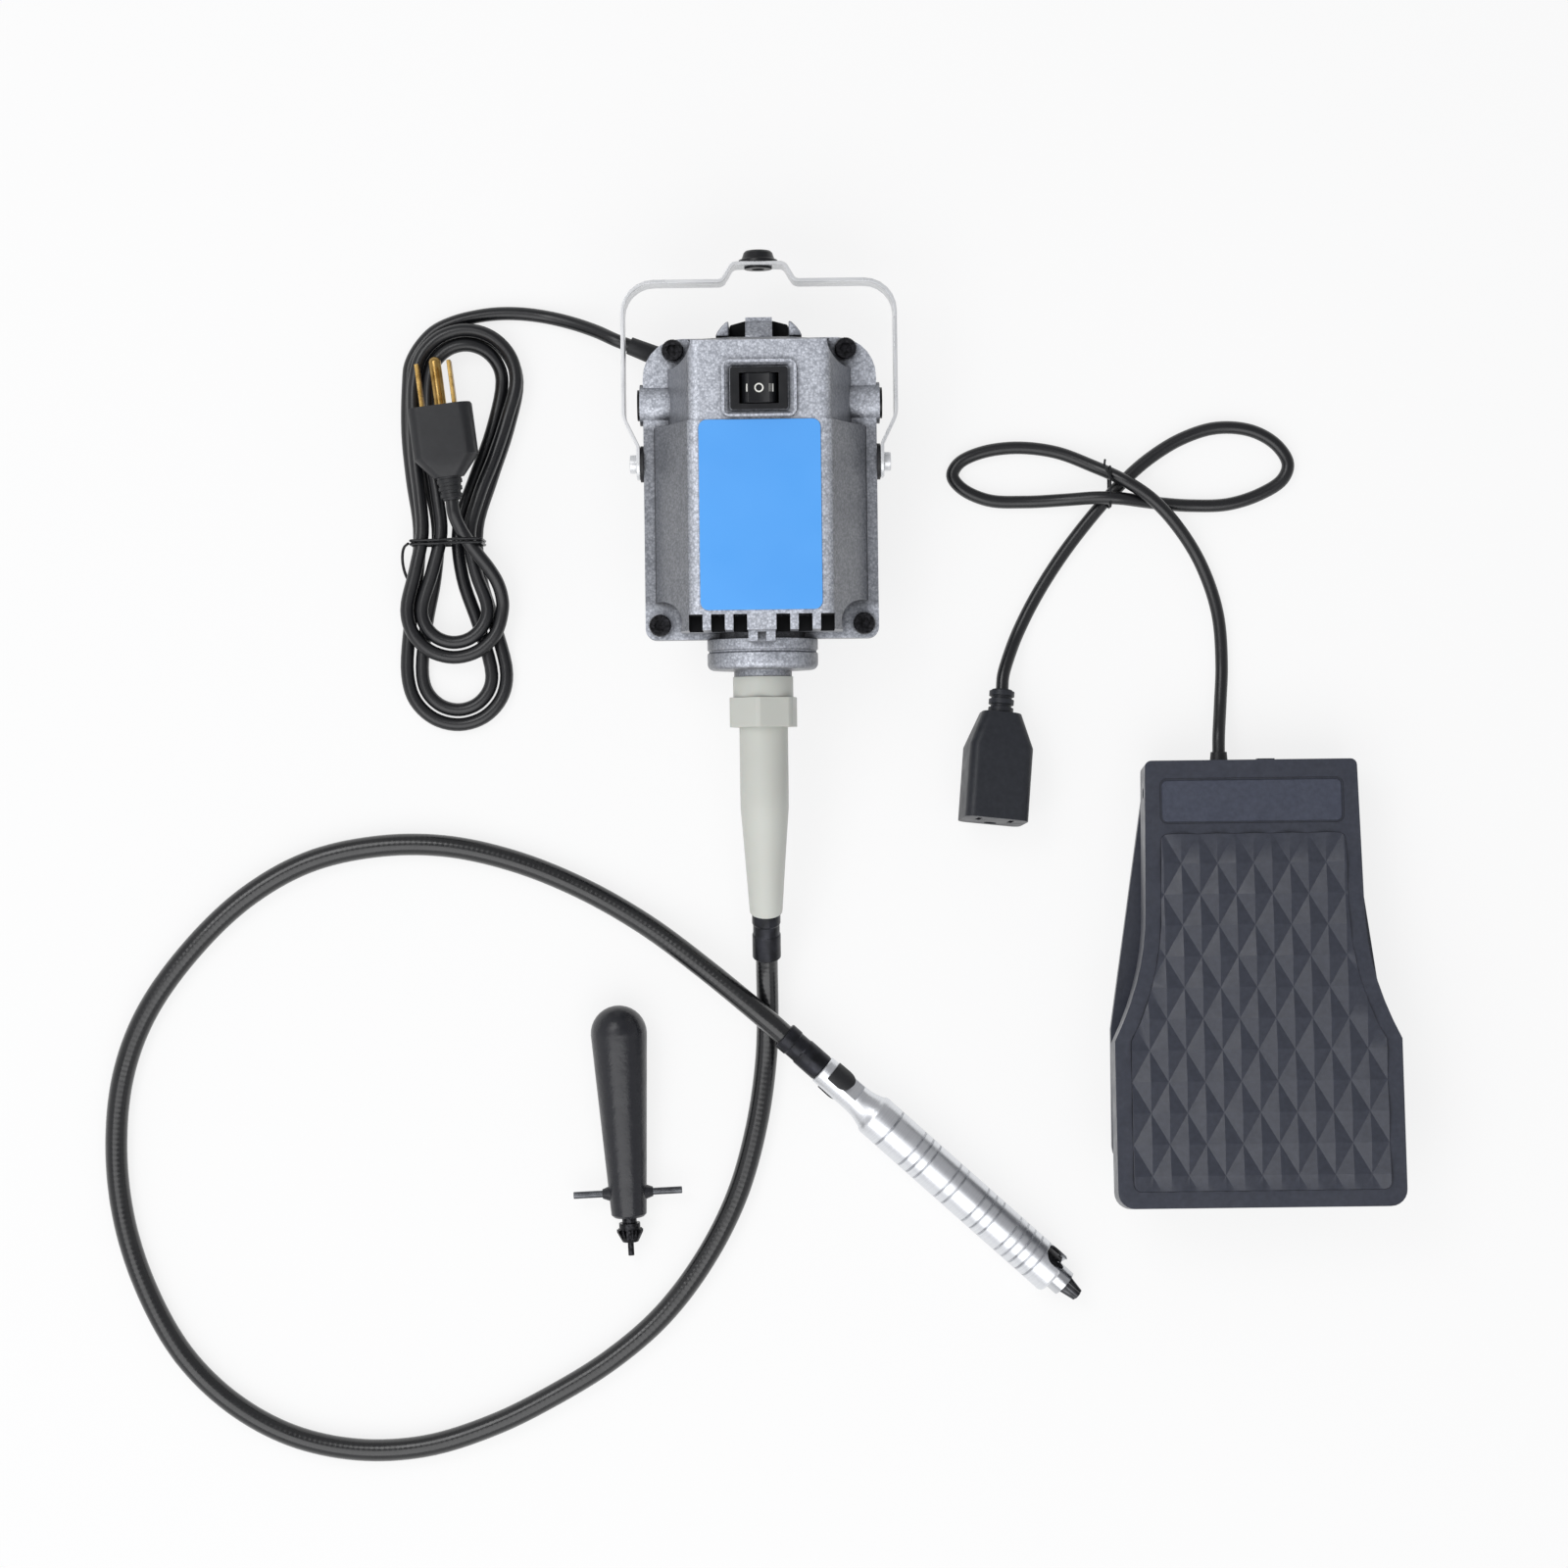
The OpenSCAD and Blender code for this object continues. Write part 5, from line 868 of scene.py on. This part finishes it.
LEAD_LIE, LEAD_D = 2.6, 5.1
LEAD_START = PEDAL_AT + Vector((-10.7, 4, 9.7))
LEAD_ROUTE = [LEAD_START, LEAD_START + Vector((0.1, 6, 0))] + [
    (181, -84, 4.8), (182, -68, LEAD_LIE), (180.5, -48, LEAD_LIE), (174.5, -30, 4.2), (166, -16, 7.4),
    (155, -3.8, 10.4), (144, 4, 9.7), (131.5, 10.4, 5.6), (117, 16.3, 3), (101, 18.3, LEAD_LIE),
    (87, 16.4, LEAD_LIE), (78.5, 12.3, LEAD_LIE), (76, 7.5, LEAD_LIE), (79.5, 2.5, LEAD_LIE),
    (90, -2.4, LEAD_LIE), (105, -3.3, 2.9), (121, -2.8, 5.2), (133, -2.4, 9), (141.5, -2.8, 9.3),
    (156, -4.4, 4.6), (170, -5.5, LEAD_LIE), (185, -5.2, LEAD_LIE), (198, -1.3, LEAD_LIE),
    (207, 4.4, LEAD_LIE), (209.3, 10.5, LEAD_LIE), (205, 18, LEAD_LIE), (195, 23.9, LEAD_LIE),
    (181, 25.2, LEAD_LIE), (167, 21, LEAD_LIE), (153.5, 12.8, 3), (142, 2.6, 3.8), (131.5, -8.9, 3.2),
    (119, -24.8, LEAD_LIE), (108.5, -41, LEAD_LIE), (101, -55.5, 3.4), (96.6, -66.5, 6.6),
    OUTLET_AT - 5.5 * OUTLET_DIR, OUTLET_AT]

camera()
studio()

sheath_line = flowing(SHEATH_ROUTE, 8, SHEATH_LIE)
sheath = tube("flex_sheath_jacket", sheath_line, SHEATH_D / 2 * MM, 20, BOOT_DIR, TOOL_DIR)
dressed(sheath, "motor_unit", "sheath_jacket", "flex_sheath")

mains_line = flowing(MAINS_ROUTE, 5, MAINS_LIE)
mains = tube("mains_lead", mains_line, MAINS_D / 2 * MM, 14, GLAND_DIR, PLUG_DIR)
dressed(mains, "motor_unit", "cord_jacket", "mains_cord", "mains_hank")

lead_line = flowing(LEAD_ROUTE, 7, LEAD_LIE)
lead = tube("pedal_lead", lead_line, LEAD_D / 2 * MM, 14, (0, 1, 0), OUTLET_DIR)
dressed(lead, "pedal", "cord_jacket", "pedal_cord")

# ---- hard pieces with rounded edges ------------------------------------------------

ROUNDED = {
    "rear_housing": 0.7, "front_housing": 0.7, "nose_cap": 0.3, "label_plate": 0.15, "brush_caps": 0.2,
    "switch_frame": 0.25, "switch_rocker": 0.2, "pivot_bolts": 0.25, "pivot_washers": 0.15,
    "hanger_bail": 0.25,
    "hanger_grommet": 0.2, "coupling_nut": 0.5, "motor_ferrule": 0.12, "tool_ferrule": 0.12, "side_pads": 0.3,
    "chuck_sleeve": 0.12, "spindle": 0.15, "jaw_1": 0.1, "jaw_2": 0.1, "jaw_3": 0.1, "key_pinion": 0.12,
    "key_pin": 0.25, "cord_gland": 0.2, "plug_pins": 0.25, "pedal_base": 0.5, "pedal_feet": 0.2,
    "pedal_plate": 0.8, "pedal_gland": 0.2, "outlet_socket": 0.5, "mains_plug": 0.5,
    "key_handle": 0.4, "strain_boot": 0.2,
}
RESHAPED = {"front_housing": leaned_back}
made = {part: softened(part, width, reshape=RESHAPED.get(part)) for part, width in ROUNDED.items()}
made["grip_shell"] = softened("grip_shell", 0, angle=180, crease=28, wrap=AT_TOOL)
made["tread_panel"] = softened("tread_panel", 0.5, angle=50, crease=4)


def paint_slot_shade(obj, inside):
    """Gives the faces for which inside(centre in mm) holds a near-black painted shade, standing in for the
    shade deep in a slot.
    """
    obj.data.materials.append(SLOT_PAINTED_SHADE)
    for face in obj.data.polygons:
        if inside(*(face.center / MM)):
            face.material_index = 1


# Cooling slots and dome windows: heights are counted both ways from the motor's axis, and EDGE is
# how far past a slot's edge the middle of one of its faces may lie.
AXIS_Z, EDGE = 38, 0.05
SLOT_FIRST, SLOT_PITCH, SLOT_W = 8.1, 8.4, 5.2
SLOT_ENDS, SLOT_FLOOR, SLOT_TOP = (-58.2, -49.8), 18.3, 37
WINDOW_Y, WINDOW_FOOT, WINDOW_X, WINDOW_W = 58.3, 1.9, 8.2, 6


def in_a_slot(x, y, z):
    """True in the cooling slots at the nose and in the two windows of the bearing dome, which get painted
    shade.
    """
    side, away = abs(x), abs(z - AXIS_Z)
    past_rib = abs((side - SLOT_FIRST) % SLOT_PITCH - SLOT_PITCH / 2) > (SLOT_PITCH - SLOT_W) / 2 - EDGE
    nose = (SLOT_ENDS[0] < y < SLOT_ENDS[1] and SLOT_FLOOR < away < SLOT_TOP
            and side > SLOT_FIRST - SLOT_W / 2 - EDGE and past_rib)
    dome = y > WINDOW_Y and away > WINDOW_FOOT and abs(side - WINDOW_X) < WINDOW_W / 2 + EDGE
    return nose or dome


# Painted shade inside the cooling slots and the dome windows.
paint_slot_shade(made["front_housing"], in_a_slot)
paint_slot_shade(made["rear_housing"], in_a_slot)

# ---- webs of the dome and blank name panel of the pedal ----------------------------------


def rounded_slab(name, width, depth, corner, low, high, chamfer, place):
    """Flat plate with rounded corners and a chamfered top edge, sizes in millimetres, set at place."""

    def outline(inset, z):
        ring = []
        for k, (sx, sy) in enumerate(((1, 1), (-1, 1), (-1, -1), (1, -1))):
            cx, cy = sx * (width / 2 - corner), sy * (depth / 2 - corner)
            for i in range(7):
                a = math.radians(90 * k + 15 * i)
                ring.append(mm(cx + (corner - inset) * math.cos(a), cy + (corner - inset) * math.sin(a), z))
        return ring

    rings = [outline(0, low), outline(0, high - chamfer), outline(chamfer, high)]
    n = len(rings[0])
    faces = [tuple(reversed(range(n))), tuple(range(2 * n, 3 * n))]
    for r in range(2):
        for k in range(n):
            m = (k + 1) % n
            faces.append((r * n + k, r * n + m, (r + 1) * n + m, (r + 1) * n + k))
    mesh = bpy.data.meshes.new(name)
    mesh.from_pydata([p for ring in rings for p in ring], [], faces)
    mesh.transform(place)
    return shaded(new_piece(name, mesh), 25)


def webs(name, outline, low, high):
    """The same web on both sides of the motor, standing from low to high over its plan."""
    verts, faces, n = [], [], len(outline)
    for side in (1, -1):
        base = len(verts)
        verts += [mm(side * x, y, z) for z in (low, high) for x, y in outline]
        faces += [tuple(range(base, base + n)), tuple(range(base + n, base + 2 * n))]
        faces += [(base + k, base + (k + 1) % n, base + n + (k + 1) % n, base + n + k) for k in range(n)]
    obj = closed_piece(name, verts, faces)
    rounding = obj.modifiers.new("rounding", "BEVEL")
    rounding.width = 0.6 * MM
    rounding.segments = 3
    return applied(obj)


WEB_PLAN = [(11.5, 57), (11.5, 62.9), (12.6, 62.4), (14.2, 60.9), (15.8, 58.8), (16.6, 57)]
dressed(webs("dome_webs", WEB_PLAN, 34, 57), "motor_unit", "cast")

panel = rounded_slab("blank_name_panel", 70.2, 16.2, 2.1, 6.4, 6.98, 0.25, ON_PLATE @ put(0, -16, 0))
dressed(panel, "treadle", "pedal", finish=PANEL_PLASTIC)

# ---- bolts, springs and ties -----------------------------------------------------------

BOLTS_AT, BOLT_SEAT = ((33.3, 53.2), (39.3, -52.6)), 43
bolts = grown("socket_bolts", bolt_tree(), [mm(s * x, y, BOLT_SEAT) for s in (-1, 1) for x, y in BOLTS_AT],
              [], FINISHES["hardened"], Head_Radius=0.00425, Head_Height=0.005, Key_Radius=0.0024,
              Key_Depth=0.0026, Shank_Radius=0.0024, Shank_Length=0.0102, Knurls=30)
made["housing_bolts"] = dressed(shaded(bolts, 28), "motor_unit", "hardened", "housing_bolts")

SPRING_FOOT = PEDAL_AT * MM + mm(0, -120, 4.85)
spring = grown("treadle_spring", coil_tree(), [SPRING_FOOT], [], FINISHES["steel"],
               Coil_Radius=0.007, Wire_Radius=0.0007, Turns=6, Height=0.0294)
made["return_spring"] = dressed(shaded(spring, 50), "pedal", "steel", "return_spring")
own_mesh(spring)

COLLAR_L = 27.5
GRIP_GROOVES = (7.9, 20, 24.1, 27.9, 38.8, 42.9, 53.5, 57.8, 61.8, 70.7, 74.5, 78.2, 82, 86)
# Beads in the grip's grooves, in the darker metal that paints shade there.
beads = grown("grip_beads", ring_tree(), [AT_TOOL @ mm(0, 0, COLLAR_L + g) for g in GRIP_GROOVES], [],
              GROOVE_SHADED_METAL, Ring_Radius=0.00822, Bead_Radius=0.00035, Lean=tuple(AT_TOOL.to_euler()))
dressed(shaded(beads, 60), "handpiece", "polished", finish=GROOVE_SHADED_METAL)

WIRE_TIE = tie_tree()


def wire_tie(name, chains, width, thickness):
    """Wire tie along closed and open chains of points in metres."""
    points, edges = chained(chains)
    tie = grown(name, WIRE_TIE, points, edges, FINISHES["black_plastic"], Width=width, Thickness=thickness)
    return shaded(tie, 50)


HANK_TIE_LOOP = [(-139.7, 0.7), (-109.0, 0.7), (-109.0, 21.05), (-120.1, 21.05), (-126.3, 13.45),
                 (-139.7, 13.45)]
HANK_TIE_TAIL = [(-139.9, -17.2, 8.5), (-141.6, -18.4, 6.6), (-142.6, -21, 4.4), (-142.7, -25, 2.6),
                 (-141.8, -29, 1.6), (-140.4, -32, 1.3)]
hank_loop = rounded_loop(HANK_TIE_LOOP, 2.1)
hank_chains = [([mm(x, y, z) for x, z in hank_loop], True) for y in (-16.3, -17.7)]
hank_chains.append((flowing(HANK_TIE_TAIL, 5), False))
made["hank_tie"] = dressed(wire_tie("hank_wire_tie", hank_chains, 0.0013, 0.0011),
                           "motor_unit", "black_plastic", "hank_tie")

LEAD_TIE_X = 137.9
LEAD_TIE_LOOP = [(-7.4, 0.5), (11.2, 0.5), (11.2, 12.7), (-7.4, 12.7)]
LEAD_TIE_TWIST = [(LEAD_TIE_X, 4.4, 12.9), (137.4, 6, 13.0), (136.3, 8, 12.9), (135.6, 10.4, 12.2),
                  (135.9, 12.4, 10.8)]
lead_loop = rounded_loop(LEAD_TIE_LOOP, 2.4)
lead_chains = [([mm(LEAD_TIE_X, y, z) for y, z in lead_loop], True), (flowing(LEAD_TIE_TWIST, 5), False)]
made["lead_tie"] = dressed(wire_tie("lead_wire_tie", lead_chains, 0.001, 0.0009),
                           "pedal", "black_plastic", "lead_tie")

# ---- marks of the switch ---------------------------------------------------------------


def printed(name, strips, under, body):
    """White print: each strip is two lines of (x, y) in millimetres, laid on the piece under it."""
    verts, faces = [], []
    for left, right, closed in strips:
        first, n = len(verts), len(left)
        for x, y in left + right:
            hit = under.ray_cast(mm(x, y, 100), Vector((0, 0, -1)))[1]
            verts += [hit + mm(0, 0, 0.04), hit - mm(0, 0, 0.05)]

        def at(side, k, low):
            return first + 2 * (side * n + k % n) + low

        for k in range(n if closed else n - 1):
            faces.append((at(0, k, 0), at(1, k, 0), at(1, k + 1, 0), at(0, k + 1, 0)))
            faces.append((at(0, k + 1, 1), at(1, k + 1, 1), at(1, k, 1), at(0, k, 1)))
            faces.append((at(0, k, 0), at(0, k + 1, 0), at(0, k + 1, 1), at(0, k, 1)))
            faces.append((at(1, k + 1, 0), at(1, k, 0), at(1, k, 1), at(1, k + 1, 1)))
        if not closed:
            faces.append((at(1, 0, 0), at(0, 0, 0), at(0, 0, 1), at(1, 0, 1)))
            faces.append((at(0, n - 1, 0), at(1, n - 1, 0), at(1, n - 1, 1), at(0, n - 1, 1)))
    return dressed(shaded(closed_piece(name, verts, faces), 30), body, "white_plastic", finish=PRINT)


def ring_mark(x, y, outer, inner):
    """A ring, as two closed lines."""
    sides = 32
    turns = [2 * math.pi * k / sides for k in range(sides)]
    return ([(x + inner * math.cos(a), y + inner * math.sin(a)) for a in turns],
            [(x + outer * math.cos(a), y + outer * math.sin(a)) for a in turns], True)


def bar_mark(x, y, width, height):
    """An upright bar, as its left and right lines."""
    steps = 4
    rows = [y - height / 2 + height * k / steps for k in range(steps + 1)]
    return [(x - width / 2, v) for v in rows], [(x + width / 2, v) for v in rows], False


SWITCH_Y = 35
printed("switch_marks", [ring_mark(0, SWITCH_Y, 1.75, 1.2), bar_mark(-4.6, SWITCH_Y, 0.5, 3),
                         bar_mark(4.1, SWITCH_Y, 0.5, 3), bar_mark(5.2, SWITCH_Y, 0.5, 3)],
        made["switch_rocker"], "rocker")

# Solids that nothing above replaces or copies show as they are.
for name, cad in frame["nodes"].items():
    if name not in made:
        cad.data.materials.clear()
        cad.data.materials.append(SPECIAL.get(name) or FINISHES[SLOT_OF[name]])
